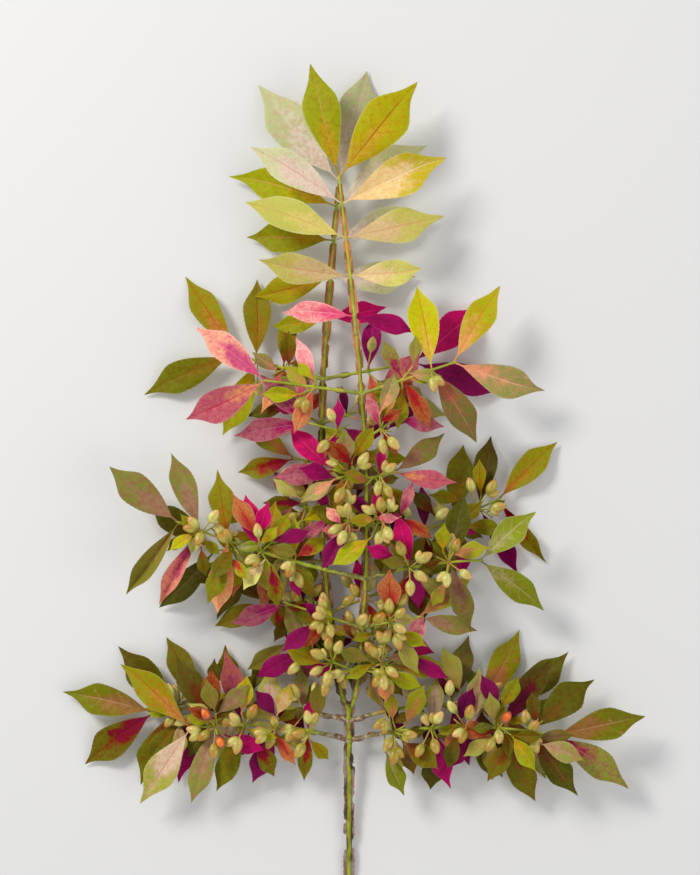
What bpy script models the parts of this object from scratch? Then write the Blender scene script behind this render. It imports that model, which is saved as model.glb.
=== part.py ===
"""
Cut branch of a burning bush, a spindle with corky wings along its stems, lying on a table.

One winged main stem forks into two leaders, which bow apart and cross again near their tops. The branch looks
the same from left to right, because the rear leader is close to a mirror image of the front one. Each leader
carries opposite side shoots and ends in a top spray. The long side shoots begin as a bare bough, and every
shoot ends in a spray: a twig with opposite leaves and stalked seed capsules, fused into one solid.

Lengths here are in millimetres, and each mesh is turned into metres as it is made. X runs across the branch,
Y from the cut end to the top, and Z up from the table.
"""

import math
import random
from collections import namedtuple

import bmesh
import bpy
from mathutils import Matrix, Vector
from mathutils.bvhtree import BVHTree

BRANCH = "burning_bush_branch"
MM = 0.001
UP = Vector((0.0, 0.0, 1.0))

# Gap between a shoot and what carries it, room kept round a leaf or capsule, and the lowest that a leaf hangs.
GAP = 0.3
CLEAR = 0.45
TABLE = 0.05

# Main stem, from the cut to the fork, where it widens to carry the two leaders.
STEM_X = 2.0
FORK_Y = 100.0
STEM_LIFT = 13.5
STEM_RISE = 1.6
STEM_CORE = 1.7
STEM_WING = 1.4
FORK_HALF_WIDTH = 3.0
FORK_HALF_HEIGHT = 2.3
FLARE_LONG = 6.0
STEM_NODE_STEP = 10.0

# The two leaders, from the fork to where their top sprays begin, and on to the top.
SPRAY_Y = 286.0
TOP_Y = 363.0
TOP_X = -3.0
BOW_SKEW = 0.75
PARTING = 6.0
LEADER_CORE = (1.45, 1.0)
LEADER_WING = (1.3, 0.9)
LEADER_NODE_STEP = 7.5
TOP_TWIG = (0.95, 0.6)

# Corky wings: their thickness, and how far they stop short of a node and slope down to it. A stem's section has
# its round core's corners at these angles, and its sections stand no closer and no further apart than this.
WING_THICK = 0.8
NODE_BARE = 2.2
NODE_RAMP = 3.0
CORE_ANGLES = (26.0, 68.0, 112.0, 154.0)
SECTION_NEAR = 1.0
SECTION_STEP = 20.0
SECTION_FAR = 26.0

# Leaves. An outline is the share of the full half width at each station along the leaf.
LEAF_STATIONS = (0.0, 0.12, 0.36, 0.61, 0.83, 1.0)
LEAF_OUTLINE = (0.05, 0.15, 0.90, 0.92, 0.34, 0.0)
SMALL_LEAF = 27.0
SMALL_STATIONS = (0.0, 0.14, 0.50, 0.84, 1.0)
SMALL_OUTLINE = (0.07, 0.16, 1.0, 0.42, 0.0)
LEAF_WIDTH = 0.40
LEAF_THICK = 0.9
TIP_THINNER = 0.4
FOLD = 15.0
HANGING_FOLD = 52.0

# How far a leaf strays from its shoot's rule, in degrees and in shares of its size, and more near the foot.
ANGLE_STRAY = 4.0
INNER_STRAY = 8.0
PITCH_STRAY = 5.0
DROOP_RANGE = (8.0, 24.0)
ROLL_STRAY = 9.0
FOLD_STRAY = (-4.0, 6.0)
SIZE_RANGE = (0.92, 1.06)
INNER_SMALLER = 0.17
WIDTH_RANGE = (0.88, 1.12)
SHED = 0.25
TIP_LEAN = 1.6
PITCH_STEPS = (0, 5, -5, 10, -10, 15, -15, 20, -20, 26, -26, 32, -32, 40, 50)

# Seed capsules on their stalks, whose outline is the share of the half width at each station.
CAPSULE_LONG = 7.8
CAPSULE_WIDE = 6.0
CAPSULE_STATIONS = (0.0, 0.3, 0.68, 1.0)
CAPSULE_OUTLINE = (0.18, 1.0, 0.84, 0.0)
STALK = 0.45
STALK_REACH = (9.0, 16.0)
STALK_SWING = (15.0, 125.0)
STALK_TILT = (-16.0, 22.0)
STALK_BACK = 0.015
CAPSULE_TRIES = 14

# Twigs are round and end in a small bud, and their first leaf pair stands some way out from the foot.
TWIG_END = 0.55
BUD = 0.25
BUD_LONG = 2.0
FIRST_PAIR = 0.45
BOUGH_PAIR = 0.08
BOUGH_STEPS = 3
TWIG_STEPS = 4
PAIR_CROWDING = 1.2
AHEAD = 0.01

# A leader bows out to its own side and climbs from the fork. Its shoots are turned about the fork, scaled,
# and climb at an angle, and its leaves and capsules lean up from the twig at their own.
Leader = namedtuple("Leader", "name mirror bow lift climb turn scale shoot_pitch leaf_pitch capsule_pitch")
LEADERS = (
    Leader("front", 1.0, 10.8, 15.2, 13.0, 0.0, 1.0, 5.0, 3.0, 34.0),
    Leader("rear", -1.0, 12.0, 12.4, -2.4, 3.0, 0.96, -4.0, -3.0, 12.0),
)
LEADER_APART = 1.6

# Side shoots of the front leader, from the lowest tier up. Their reach is across and along the branch. Leaf
# lengths and the angles between leaf and twig are given for the shoot's tip and for its foot. Last come the
# share of the shoot that is a bare bough, its bow, how far its leaf pairs sag, and its folded hanging leaves.
Shoot = namedtuple("Shoot", "tier side foot across along pairs leaf_tip leaf_foot spread_tip spread_foot "
                            "capsules radius bough bow sag hanging", defaults=(0.0, 0.0, 0.0, 0))
SHOOTS = (
    Shoot(1, 1, 82.0, 100.0, 3.0, 6, 46.0, 24.0, 24.0, 85.0, 5, 1.25, 0.14, 5.0),
    Shoot(1, -1, 82.0, 77.0, 6.0, 5, 48.0, 24.0, 46.0, 85.0, 5, 1.25, 0.16, 4.0),
    Shoot(2, 1, 117.0, 22.0, 8.0, 2, 25.0, 20.0, 50.0, 85.0, 4, 0.85),
    Shoot(2, -1, 117.0, 26.0, 10.0, 2, 26.0, 20.0, 50.0, 85.0, 4, 0.85),
    Shoot(3, 1, 139.0, 26.0, 5.0, 2, 33.0, 22.0, 24.0, 80.0, 3, 0.85),
    Shoot(3, -1, 139.0, 36.0, 12.0, 2, 30.0, 22.0, 40.0, 80.0, 3, 0.85),
    Shoot(4, 1, 163.5, 55.0, 9.0, 3, 40.0, 28.0, 40.0, 88.0, 4, 1.1, 0.30, 2.0),
    Shoot(4, -1, 163.5, 91.0, 28.0, 5, 44.0, 22.0, 46.0, 92.0, 4, 1.2, 0.30, -2.0, 18.0, 2),
    Shoot(5, 1, 190.0, 14.0, 4.0, 2, 20.0, 16.0, 50.0, 85.0, 3, 0.8),
    Shoot(5, -1, 190.0, 16.0, 4.0, 2, 22.0, 16.0, 50.0, 85.0, 3, 0.8),
    Shoot(6, 1, 213.5, 12.0, 3.0, 2, 31.0, 18.0, 22.0, 80.0, 2, 0.8),
    Shoot(6, -1, 213.5, 14.0, 4.0, 2, 33.0, 18.0, 25.0, 80.0, 2, 0.8),
    Shoot(7, 1, 234.0, 14.0, 9.0, 2, 25.0, 19.0, 41.0, 85.0, 2, 0.8),
    Shoot(7, -1, 234.0, 26.0, 7.0, 2, 37.0, 20.0, 28.0, 80.0, 2, 0.8),
    Shoot(8, 1, 256.0, 44.0, 15.0, 3, 48.0, 29.0, 39.0, 90.0, 1, 1.0, 0.35),
    Shoot(8, -1, 256.0, 46.0, 6.0, 2, 46.0, 32.0, 28.0, 75.0, 1, 1.0, 0.40),
)
PINK_TIERS = (2, 5, 6, 7)
TOP_TIER = 9
TOP_PAIRS = 5
TOP_FIRST = 0.1
TOP_LEAF = (61.0, 36.0)
TOP_SPREAD = (26.0, 97.0)
TOP_SAG = 12.0

# A body is one closed shape of a node. Its tree finds what touches it, and its blade tree leaves the root out.
Body = namedtuple("Body", "node kind points faces tree blade")
Spray = namedtuple("Spray", "node tier leader side line places leaf spread sag hanging shed capsules chance")


def mix(start, end, share):
    return start + (end - start) * share


def ball(sides, rings):
    """A unit ball, as each vertex's ring counted from one pole, its angle round, and its faces as triangles.

    The primitive's faces come in no fixed order, so they are sorted, which keeps every run the same.
    """
    mesh = bmesh.new()
    bmesh.ops.create_uvsphere(mesh, u_segments=sides, v_segments=rings, radius=1.0)
    places = []
    for vertex in mesh.verts:
        ring = round(math.acos(max(-1.0, min(1.0, vertex.co.z))) / math.pi * rings)
        places.append((ring, math.atan2(vertex.co.y, vertex.co.x)))
    faces = []
    for face in mesh.faces:
        corners = [vertex.index for vertex in face.verts]
        start = corners.index(min(corners))
        first, *others = corners[start:] + corners[:start]
        faces += [[first, left, right] for left, right in zip(others, others[1:])]
    faces.sort()
    mesh.free()
    return places, faces


def shape_ball(node, kind, sides, rings, place):
    """Set a ball's rings along a limb, leaf or stalk: place gives a point for a station and an angle.

    The pole at the foot lies in the first ring, which makes a flat end, and the other pole is the last station.
    """
    places, faces = ball(sides, rings)
    points = []
    for ring, angle in places:
        pole = ring in (0, rings)
        points.append(place(max(ring - 1, 0), None if pole else angle))
    blade = [face for face in faces if all(places[corner][0] > 1 for corner in face)]
    tree = BVHTree.FromPolygons(points, faces, all_triangles=True)
    return Body(node, kind, points, faces, tree, BVHTree.FromPolygons(points, blade, all_triangles=True))


def tube(node, kind, line, stations, radius, sides):
    """A round tapering limb along a line, with flat ends."""
    shares = list(stations) + [stations[-1]]

    def place(step, angle):
        share = shares[step]
        centre = line(share)
        if angle is None:
            return centre
        ahead = (line(share + AHEAD) - line(share - AHEAD)).normalized()
        across = ahead.cross(UP).normalized()
        above = across.cross(ahead)
        return centre + (across * math.cos(angle) + above * math.sin(angle)) * radius(share)
    return shape_ball(node, kind, sides, len(shares), place)


def winged_point(centre, half_width, half_height, wing, turn):
    """One of the twelve points of a stem's section: a round core with a blunt wing at each side."""
    level = 1.0 if turn < 6 else -1.0
    if turn in (0, 5, 6, 11):
        edge = -1.0 if turn in (5, 6) else 1.0
        return centre + Vector((edge * (half_width + wing), 0.0, level * WING_THICK * 0.5))
    bent = math.radians(CORE_ANGLES[turn % 6 - 1])
    return centre + Vector((level * math.cos(bent) * half_width, 0.0, level * math.sin(bent) * half_height))


def winged_stem(node, line, size, nodes, low, high):
    """A stem whose sections lie across Y, with its wings broken off round each node."""
    heights = {low, high}
    for node_y in nodes:
        for step in (-NODE_BARE - NODE_RAMP, -NODE_BARE, NODE_BARE, NODE_BARE + NODE_RAMP):
            if low + SECTION_NEAR < node_y + step < high - SECTION_NEAR:
                heights.add(node_y + step)
    spaced = [low]
    for height in sorted(heights)[1:]:
        while height - spaced[-1] > SECTION_FAR:
            spaced.append(spaced[-1] + SECTION_STEP)
        spaced.append(height)
    spaced.append(high)

    def place(step, angle):
        y = spaced[step]
        if angle is None:
            return line(y)
        half_width, half_height, wing = size(y)
        nearest = min(abs(y - node_y) for node_y in nodes)
        wing *= min(max((nearest - NODE_BARE) / NODE_RAMP, 0.0), 1.0)
        return winged_point(line(y), half_width, half_height, wing, round(math.degrees(angle) / 30.0) % 12)
    return shape_ball(node, "limb", 12, len(spaced), place)


def stem_point(y):
    """Centre of the main stem at a height: its cut end lies on the table and it rises towards the fork."""
    return Vector((STEM_X, y, mix(STEM_CORE, STEM_LIFT, (y / FORK_Y) ** STEM_RISE)))


def stem_size(y):
    flare = max(0.0, (y - FORK_Y + FLARE_LONG) / FLARE_LONG)
    return mix(STEM_CORE, FORK_HALF_WIDTH, flare), mix(STEM_CORE, FORK_HALF_HEIGHT, flare), STEM_WING


def leader_point(leader, y):
    """Centre of a leader at a height: it bows out from the fork and swings back over its twin at the top."""
    share = max((y - FORK_Y) / (TOP_Y - FORK_Y), 0.0)
    out = leader.bow * math.sin(math.pi * share ** BOW_SKEW) + LEADER_APART * max(1.0 - share * PARTING, 0.0)
    lift = leader.lift + leader.climb * (1.0 - (1.0 - share) ** 2)
    return Vector((mix(STEM_X, TOP_X, share) + leader.mirror * out, y, lift))


def leader_size(y):
    share = (y - FORK_Y) / (TOP_Y - FORK_Y)
    core = mix(*LEADER_CORE, share)
    return core, core, mix(*LEADER_WING, share)


def leaf(node, root, heading, pitch, droop, roll, fold, length, width, extra=0.0):
    """A leaf: a thin blade with a drawn-out tip, folded up from its midrib and drooping along its length."""
    small = length < SMALL_LEAF
    stations = SMALL_STATIONS if small else LEAF_STATIONS
    outline = SMALL_OUTLINE if small else LEAF_OUTLINE
    out = Vector((math.cos(heading), math.sin(heading), 0.0))
    side = out.cross(UP)

    def place(step, angle):
        share = stations[step]
        chord = pitch - droop * share * 0.5
        centre = root + (out * math.cos(chord) + UP * math.sin(chord)) * (length * share)
        if angle is None:
            return centre
        tilt = pitch - droop * share
        flat = UP * math.cos(tilt) - out * math.sin(tilt)
        across = side * math.cos(roll) + flat * math.sin(roll)
        above = flat * math.cos(roll) - side * math.sin(roll)
        half = outline[step] * width * 0.5 + extra
        thick = LEAF_THICK * 0.5 * (1.0 - TIP_THINNER * share) + extra
        rise = abs(math.cos(angle)) * half * math.sin(fold) + math.sin(angle) * thick
        return centre + across * (math.cos(angle) * half * math.cos(fold)) + above * rise
    return shape_ball(node, "leaf", 4, len(stations), place)


def capsule(node, root, axis, reach, extra=0.0):
    """A seed capsule: egg-shaped, widest past its middle, drawn out at its foot into a thin straight stalk."""
    near = reach - CAPSULE_LONG * 0.5
    stations = [0.0] + [near + CAPSULE_LONG * share for share in CAPSULE_STATIONS]
    sizes = [STALK] + [CAPSULE_WIDE * 0.5 * share for share in CAPSULE_OUTLINE]
    across = axis.cross(UP).normalized()
    above = across.cross(axis)

    def place(step, angle):
        centre = root + axis * stations[step]
        if angle is None:
            return centre
        return centre + (across * math.cos(angle) + above * math.sin(angle)) * (sizes[step] + extra)
    return shape_ball(node, "capsule", 4, len(stations), place)


def lowest(body):
    return min(point.z for point in body.points)


def clashes(body, placed):
    """Whether a body would cross another node's, or its blade the blade of another leaf of its own node."""
    for other in placed:
        if other.node != body.node:
            if body.tree.overlap(other.tree):
                return True
        elif other.kind != "twig" and body.blade.overlap(other.blade):
            return True
    return False


def shoot_line(leader, shoot, start, core):
    """The line of a side shoot from its foot to its tip, turned and mirrored for its leader."""
    side = shoot.side * leader.mirror
    reach = Vector((side * shoot.across, shoot.along, 0.0)) * leader.scale
    if shoot.tier > 1:
        reach.rotate(Matrix.Rotation(math.radians(leader.turn), 3, "Z"))
    bow = Vector((-reach.y, reach.x, 0.0)).normalized() * (shoot.bow * side)
    away = (reach + bow * 4.0).normalized()
    foot = start + Vector((side * (core + GAP + shoot.radius * abs(away.y)), 0.0, 0.0))
    rise = UP * (math.tan(math.radians(leader.shoot_pitch)) * shoot.across)

    def line(share):
        return foot + (reach + rise) * share + bow * (4.0 * share * (1.0 - share))
    return line


def pair_places(pairs, first):
    """Shares of the twig where the leaf pairs stand, closer together towards the tip."""
    return [1.0 - (1.0 - first) * (step / (pairs - 1)) ** PAIR_CROWDING for step in range(pairs)]


def heading_at(line, share):
    ahead = line(share + AHEAD) - line(share - AHEAD)
    return math.atan2(ahead.y, ahead.x)


def place_pair(spray, step):
    """Set the two leaves of one pair, each at the first pitch that keeps clear of all that is placed."""
    inward = step / (len(spray.places) - 1)
    root = spray.line(spray.places[step])
    heading = heading_at(spray.line, spray.places[step])
    length = mix(*spray.leaf, inward ** 1.5)
    spread = mix(*spray.spread, inward ** 0.5)
    lean = -spray.side * spray.sag * (TIP_LEAN if step == 0 else 1.0)
    chance = spray.chance
    for hand in (1.0, -1.0):
        if chance.random() < spray.shed * inward:
            continue
        size = length * chance.uniform(SIZE_RANGE[0] - INNER_SMALLER * inward, SIZE_RANGE[1])
        stray = ANGLE_STRAY + INNER_STRAY * inward
        way = heading + math.radians(hand * (spread + chance.uniform(-stray, stray)) + lean)
        pitch = spray.leader.leaf_pitch + chance.uniform(-PITCH_STRAY, PITCH_STRAY)
        droop = math.radians(chance.uniform(*DROOP_RANGE))
        roll = math.radians(chance.uniform(-ROLL_STRAY, ROLL_STRAY))
        fold = math.radians(FOLD + chance.uniform(*FOLD_STRAY))
        width = size * LEAF_WIDTH * chance.uniform(*WIDTH_RANGE)
        if step < spray.hanging and math.sin(way) < 0.0:
            fold = math.radians(HANGING_FOLD)
        for pitch_step in PITCH_STEPS:
            shape = (spray.node, root, way, math.radians(pitch + pitch_step), droop, roll, fold, size, width)
            found = leaf(*shape)
            if lowest(found) >= TABLE and not clashes(leaf(*shape, CLEAR), placed):
                placed.append(found)
                break


def place_capsules(spray):
    """Hang the capsules from the angles of the inner leaves, each the first way that keeps clear."""
    chance = spray.chance
    nodes = spray.places[1:]
    for number in range(spray.capsules):
        share = nodes[number % len(nodes)] - STALK_BACK
        root = spray.line(share)
        heading = heading_at(spray.line, share)
        for attempt in range(CAPSULE_TRIES):
            hand = chance.choice((1.0, -1.0))
            way = heading + math.radians(hand * chance.uniform(*STALK_SWING))
            tilt = math.radians(spray.leader.capsule_pitch + chance.uniform(*STALK_TILT))
            reach = chance.uniform(*STALK_REACH)
            axis = Vector((math.cos(way) * math.cos(tilt), math.sin(way) * math.cos(tilt), math.sin(tilt)))
            found = capsule(spray.node, root, axis, reach)
            if lowest(found) >= TABLE and not clashes(capsule(spray.node, root, axis, reach, CLEAR), placed):
                placed.append(found)
                break


def foot_height(leader, shoot):
    """Height of a shoot's foot on what carries it: the rear leader's nodes are higher than the front one's."""
    step = STEM_NODE_STEP if shoot.tier == 1 else LEADER_NODE_STEP
    return shoot.foot + (step if leader.mirror < 0.0 else 0.0)


def grow_main_stem():
    nodes = [foot_height(leader, SHOOTS[0]) for leader in LEADERS] + [FORK_Y]
    stems.append(winged_stem("main_stem", stem_point, stem_size, nodes, 0.0, FORK_Y))


def grow_leader(leader):
    """Add a leader, from the fork to its top spray, with a node wherever a side shoot stands."""
    nodes = [FORK_Y + NODE_RAMP] + sorted({foot_height(leader, shoot) for shoot in SHOOTS if shoot.tier > 1})

    def line(y):
        return leader_point(leader, y)
    stems.append(winged_stem(leader.name + "_leader", line, leader_size, nodes, FORK_Y + GAP, SPRAY_Y))


def grow_shoot(leader, shoot):
    """Add a side shoot's bare bough, if it has one, its twig, and the spray that its leaves are placed by."""
    side = shoot.side * leader.mirror
    where = str(shoot.tier) + ("_right" if side > 0.0 else "_left")
    foot = foot_height(leader, shoot)
    if shoot.tier == 1:
        line = shoot_line(leader, shoot, stem_point(foot), stem_size(foot)[0])
    else:
        line = shoot_line(leader, shoot, leader_point(leader, foot), leader_size(foot)[0])
    length = (line(1.0) - line(0.0)).length

    def radius(share):
        return mix(shoot.radius, TWIG_END, share) if share <= 1.0 else BUD
    begin = 0.0
    first = FIRST_PAIR
    if shoot.bough > 0.0:
        stations = [shoot.bough * step / BOUGH_STEPS for step in range(BOUGH_STEPS + 1)]
        boughs.append(tube(leader.name + "_bough_" + where, "limb", line, stations, radius, 6))
        begin = shoot.bough + GAP / length
        first = shoot.bough + BOUGH_PAIR
    node = leader.name + "_spray_" + where
    steps = TWIG_STEPS if shoot.bow else 1
    stations = [mix(begin, 1.0, step / steps) for step in range(steps + 1)] + [1.0 + BUD_LONG / length]
    twigs.append(tube(node, "twig", line, stations, radius, 4))
    sprays.append(Spray(node, shoot.tier, leader, side, line, pair_places(shoot.pairs, first),
                        (shoot.leaf_tip, shoot.leaf_foot), (shoot.spread_tip, shoot.spread_foot),
                        shoot.sag, shoot.hanging, SHED, shoot.capsules, random.Random(node)))


def grow_top(leader):
    """Add the twig that ends a leader, and its spray of large leaves."""
    node = leader.name + "_top_spray"

    def line(share):
        return leader_point(leader, mix(SPRAY_Y + GAP, TOP_Y, share))

    def radius(share):
        return mix(*TOP_TWIG, share)
    stations = [step / TWIG_STEPS for step in range(TWIG_STEPS + 1)]
    twigs.append(tube(node, "twig", line, stations, radius, 5))
    sprays.append(Spray(node, TOP_TIER, leader, leader.mirror, line, pair_places(TOP_PAIRS, TOP_FIRST),
                        TOP_LEAF, TOP_SPREAD, TOP_SAG, 0, 0.0, 0, random.Random(node)))


def finish(name, colour, roughness):
    material = bpy.data.materials.new(name)
    material.use_nodes = True
    shader = material.node_tree.nodes["Principled BSDF"]
    shader.inputs["Base Color"].default_value = (*colour, 1.0)
    shader.inputs["Roughness"].default_value = roughness
    shader.inputs["Metallic"].default_value = 0.0
    return material


def add_mesh(name, body, home):
    mesh = bpy.data.meshes.new(name)
    mesh.from_pydata([point * MM for point in body.points], [], body.faces)
    made = bpy.data.objects.new(name, mesh)
    home.objects.link(made)
    return made


def add_limb(body, material):
    made = add_mesh(body.node, body, branch)
    made.data.materials.append(material)
    return made


def add_spray(node, material):
    """Join a spray's twig, leaves and capsules into one solid with a single union."""
    twig, *others = [body for body in placed if body.node == node]
    made = add_mesh(node, twig, branch)
    loose = bpy.data.collections.new(node + "_pieces")
    bpy.context.scene.collection.children.link(loose)
    for number, body in enumerate(others):
        add_mesh(node + "_piece_" + str(number), body, loose)
    union = made.modifiers.new("union", "BOOLEAN")
    union.operation = "UNION"
    union.operand_type = "COLLECTION"
    union.collection = loose
    union.solver = "EXACT"
    bpy.context.view_layer.update()
    solid = bpy.data.meshes.new_from_object(made.evaluated_get(bpy.context.evaluated_depsgraph_get()))
    made.modifiers.clear()
    made.data = solid
    for piece in list(loose.objects):
        bpy.data.objects.remove(piece, do_unlink=True)
    bpy.data.collections.remove(loose)
    made.data.materials.clear()
    made.data.materials.append(material)
    return made


for old in list(bpy.data.objects):
    bpy.data.objects.remove(old, do_unlink=True)
branch = bpy.data.collections.new(BRANCH)
bpy.context.scene.collection.children.link(branch)
winged_bark = finish("winged_bark", (0.30, 0.20, 0.12), 0.85)
green_bark = finish("green_bark", (0.33, 0.42, 0.10), 0.55)
olive_leaf = finish("olive_leaf", (0.35, 0.38, 0.07), 0.5)
pink_leaf = finish("pink_leaf", (0.62, 0.16, 0.24), 0.5)

# The main stem, the leaders, and the twig of every shoot come first, so that leaves keep clear of them.
stems = []
boughs = []
twigs = []
sprays = []
grow_main_stem()
for leader in LEADERS:
    grow_leader(leader)
    for shoot in SHOOTS:
        grow_shoot(leader, shoot)
    grow_top(leader)

# The outer leaves of every spray are placed before the inner ones, and the capsules last.
placed = stems + boughs + twigs
for step in range(max(len(spray.places) for spray in sprays)):
    for spray in sprays:
        if step < len(spray.places):
            place_pair(spray, step)
for spray in sprays:
    place_capsules(spray)

made = [add_limb(body, winged_bark) for body in stems] + [add_limb(body, green_bark) for body in boughs]
made += [add_spray(spray.node, pink_leaf if spray.tier in PINK_TIERS else olive_leaf) for spray in sprays]

# The origin goes under the middle of the whole branch, and its lowest point touches the table.
corners = [vertex.co for piece in made for vertex in piece.data.vertices]
low = [min(corner[axis] for corner in corners) for axis in range(3)]
high = [max(corner[axis] for corner in corners) for axis in range(3)]
for piece in made:
    piece.location = (-(low[0] + high[0]) * 0.5, -(low[1] + high[1]) * 0.5, -low[2])
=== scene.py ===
"""
A cut branch of burning bush in its autumn tints, lying on a pale table and seen from straight above.

The branch grows here by the same rule as its plain solids: stems, then bare boughs and twigs, then leaf
pairs from the tips inward, then seed capsules. Finer twigs, small leaves and more capsules follow where there
is room. Lengths are in millimetres until a mesh is made. X runs across the branch, Y from its cut end to its
top, Z up.
"""

import math
import random
from collections import namedtuple

import bmesh
import bpy
import numpy as np
from mathutils import Matrix, Vector, noise
from mathutils.bvhtree import BVHTree


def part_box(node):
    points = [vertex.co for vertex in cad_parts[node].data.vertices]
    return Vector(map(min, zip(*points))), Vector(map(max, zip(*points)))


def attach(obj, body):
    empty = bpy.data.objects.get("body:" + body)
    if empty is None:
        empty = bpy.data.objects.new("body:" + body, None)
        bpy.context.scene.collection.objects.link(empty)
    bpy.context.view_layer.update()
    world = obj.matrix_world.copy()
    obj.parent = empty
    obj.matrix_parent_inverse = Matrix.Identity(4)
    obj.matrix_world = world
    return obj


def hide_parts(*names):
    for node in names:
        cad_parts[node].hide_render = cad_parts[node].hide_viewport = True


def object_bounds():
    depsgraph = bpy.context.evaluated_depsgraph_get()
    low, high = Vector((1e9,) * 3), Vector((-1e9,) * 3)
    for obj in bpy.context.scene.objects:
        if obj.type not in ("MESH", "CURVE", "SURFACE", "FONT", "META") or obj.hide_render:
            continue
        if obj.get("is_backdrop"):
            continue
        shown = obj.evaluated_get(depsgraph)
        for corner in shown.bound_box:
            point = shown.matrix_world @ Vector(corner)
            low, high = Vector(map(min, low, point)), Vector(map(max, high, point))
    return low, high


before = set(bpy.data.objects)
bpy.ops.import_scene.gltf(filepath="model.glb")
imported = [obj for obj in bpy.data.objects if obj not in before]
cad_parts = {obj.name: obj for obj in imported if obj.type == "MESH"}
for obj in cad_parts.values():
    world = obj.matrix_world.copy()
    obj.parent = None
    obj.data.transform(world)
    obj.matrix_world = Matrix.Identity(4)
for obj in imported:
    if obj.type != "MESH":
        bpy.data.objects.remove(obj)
cad_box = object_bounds()

# Main stem and leaders: woody shoots with green bark, and two ragged wings of brown cork that run along them
# and break off round every node. The main stem was cut square at its foot, and it widens at the fork to carry
# the two leaders, which part, bow out to their own sides and cross over each other near their tops.
MM = 0.001
UP = Vector((0.0, 0.0, 1.0))
GAP = 0.3
STEM_X = 2.0
FORK_Y = 100.0
STEM_LIFT = 13.5
STEM_RISE = 1.6
STEM_CORE = 1.7
STEM_WING = 1.4
FORK_HALF_WIDTH = 3.0
FORK_HALF_HEIGHT = 2.3
FLARE_LONG = 6.0
STEM_NODE_STEP = 10.0
SPRAY_Y = 286.0
TOP_Y = 363.0
TOP_X = -3.0
BOW_SKEW = 0.75
PARTING = 6.0
LEADER_APART = 1.6
LEADER_CORE = (1.45, 1.0)
LEADER_WING = (1.3, 0.9)
LEADER_NODE_STEP = 7.5
WING_THICK = 0.8
NODE_BARE = 2.2
NODE_RAMP = 3.0
CORE_ANGLES = (26.0, 68.0, 112.0, 154.0)
SECTION_NEAR = 1.0
SECTION_STEP = 20.0
SECTION_FAR = 26.0

Leader = namedtuple("Leader", "name mirror bow lift climb turn scale shoot_pitch leaf_pitch capsule_pitch")
LEADERS = (
    Leader("front", 1.0, 10.8, 15.2, 13.0, 0.0, 1.0, 5.0, 3.0, 34.0),
    Leader("rear", -1.0, 12.0, 12.4, -2.4, 3.0, 0.96, -4.0, -3.0, 12.0),
)
Shoot = namedtuple("Shoot", "tier side foot across along pairs leaf_tip leaf_foot spread_tip spread_foot "
                            "capsules radius bough bow sag hanging", defaults=(0.0, 0.0, 0.0, 0))
SHOOTS = (
    Shoot(1, 1, 82.0, 100.0, 3.0, 6, 46.0, 24.0, 24.0, 85.0, 5, 1.25, 0.14, 5.0),
    Shoot(1, -1, 82.0, 77.0, 6.0, 5, 48.0, 24.0, 46.0, 85.0, 5, 1.25, 0.16, 4.0),
    Shoot(2, 1, 117.0, 22.0, 8.0, 2, 25.0, 20.0, 50.0, 85.0, 4, 0.85),
    Shoot(2, -1, 117.0, 26.0, 10.0, 2, 26.0, 20.0, 50.0, 85.0, 4, 0.85),
    Shoot(3, 1, 139.0, 26.0, 5.0, 2, 33.0, 22.0, 24.0, 80.0, 3, 0.85),
    Shoot(3, -1, 139.0, 36.0, 12.0, 2, 30.0, 22.0, 40.0, 80.0, 3, 0.85),
    Shoot(4, 1, 163.5, 55.0, 9.0, 3, 40.0, 28.0, 40.0, 88.0, 4, 1.1, 0.30, 2.0),
    Shoot(4, -1, 163.5, 91.0, 28.0, 5, 44.0, 22.0, 46.0, 92.0, 4, 1.2, 0.30, -2.0, 18.0, 2),
    Shoot(5, 1, 190.0, 14.0, 4.0, 2, 20.0, 16.0, 50.0, 85.0, 3, 0.8),
    Shoot(5, -1, 190.0, 16.0, 4.0, 2, 22.0, 16.0, 50.0, 85.0, 3, 0.8),
    Shoot(6, 1, 213.5, 12.0, 3.0, 2, 31.0, 18.0, 22.0, 80.0, 2, 0.8),
    Shoot(6, -1, 213.5, 14.0, 4.0, 2, 33.0, 18.0, 25.0, 80.0, 2, 0.8),
    Shoot(7, 1, 234.0, 14.0, 9.0, 2, 25.0, 19.0, 41.0, 85.0, 2, 0.8),
    Shoot(7, -1, 234.0, 26.0, 7.0, 2, 37.0, 20.0, 28.0, 80.0, 2, 0.8),
    Shoot(8, 1, 256.0, 44.0, 15.0, 3, 48.0, 29.0, 39.0, 90.0, 1, 1.0, 0.35),
    Shoot(8, -1, 256.0, 46.0, 6.0, 2, 46.0, 32.0, 28.0, 75.0, 1, 1.0, 0.40),
)

# A body is one closed shape of a node. Its tree finds what touches it; its blade tree leaves the root out.
Body = namedtuple("Body", "node kind points faces tree blade")


def mix(start, end, share):
    return start + (end - start) * share


def ball(sides, rings):
    """A unit ball: each vertex's ring from one pole and its angle round, and the faces as triangles."""
    mesh = bmesh.new()
    bmesh.ops.create_uvsphere(mesh, u_segments=sides, v_segments=rings, radius=1.0)
    places = []
    for vertex in mesh.verts:
        ring = round(math.acos(max(-1.0, min(1.0, vertex.co.z))) / math.pi * rings)
        places.append((ring, math.atan2(vertex.co.y, vertex.co.x)))
    faces = []
    for face in mesh.faces:
        corners = [vertex.index for vertex in face.verts]
        start = corners.index(min(corners))
        first, *others = corners[start:] + corners[:start]
        faces += [[first, left, right] for left, right in zip(others, others[1:])]
    faces.sort()
    mesh.free()
    return places, faces


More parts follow.
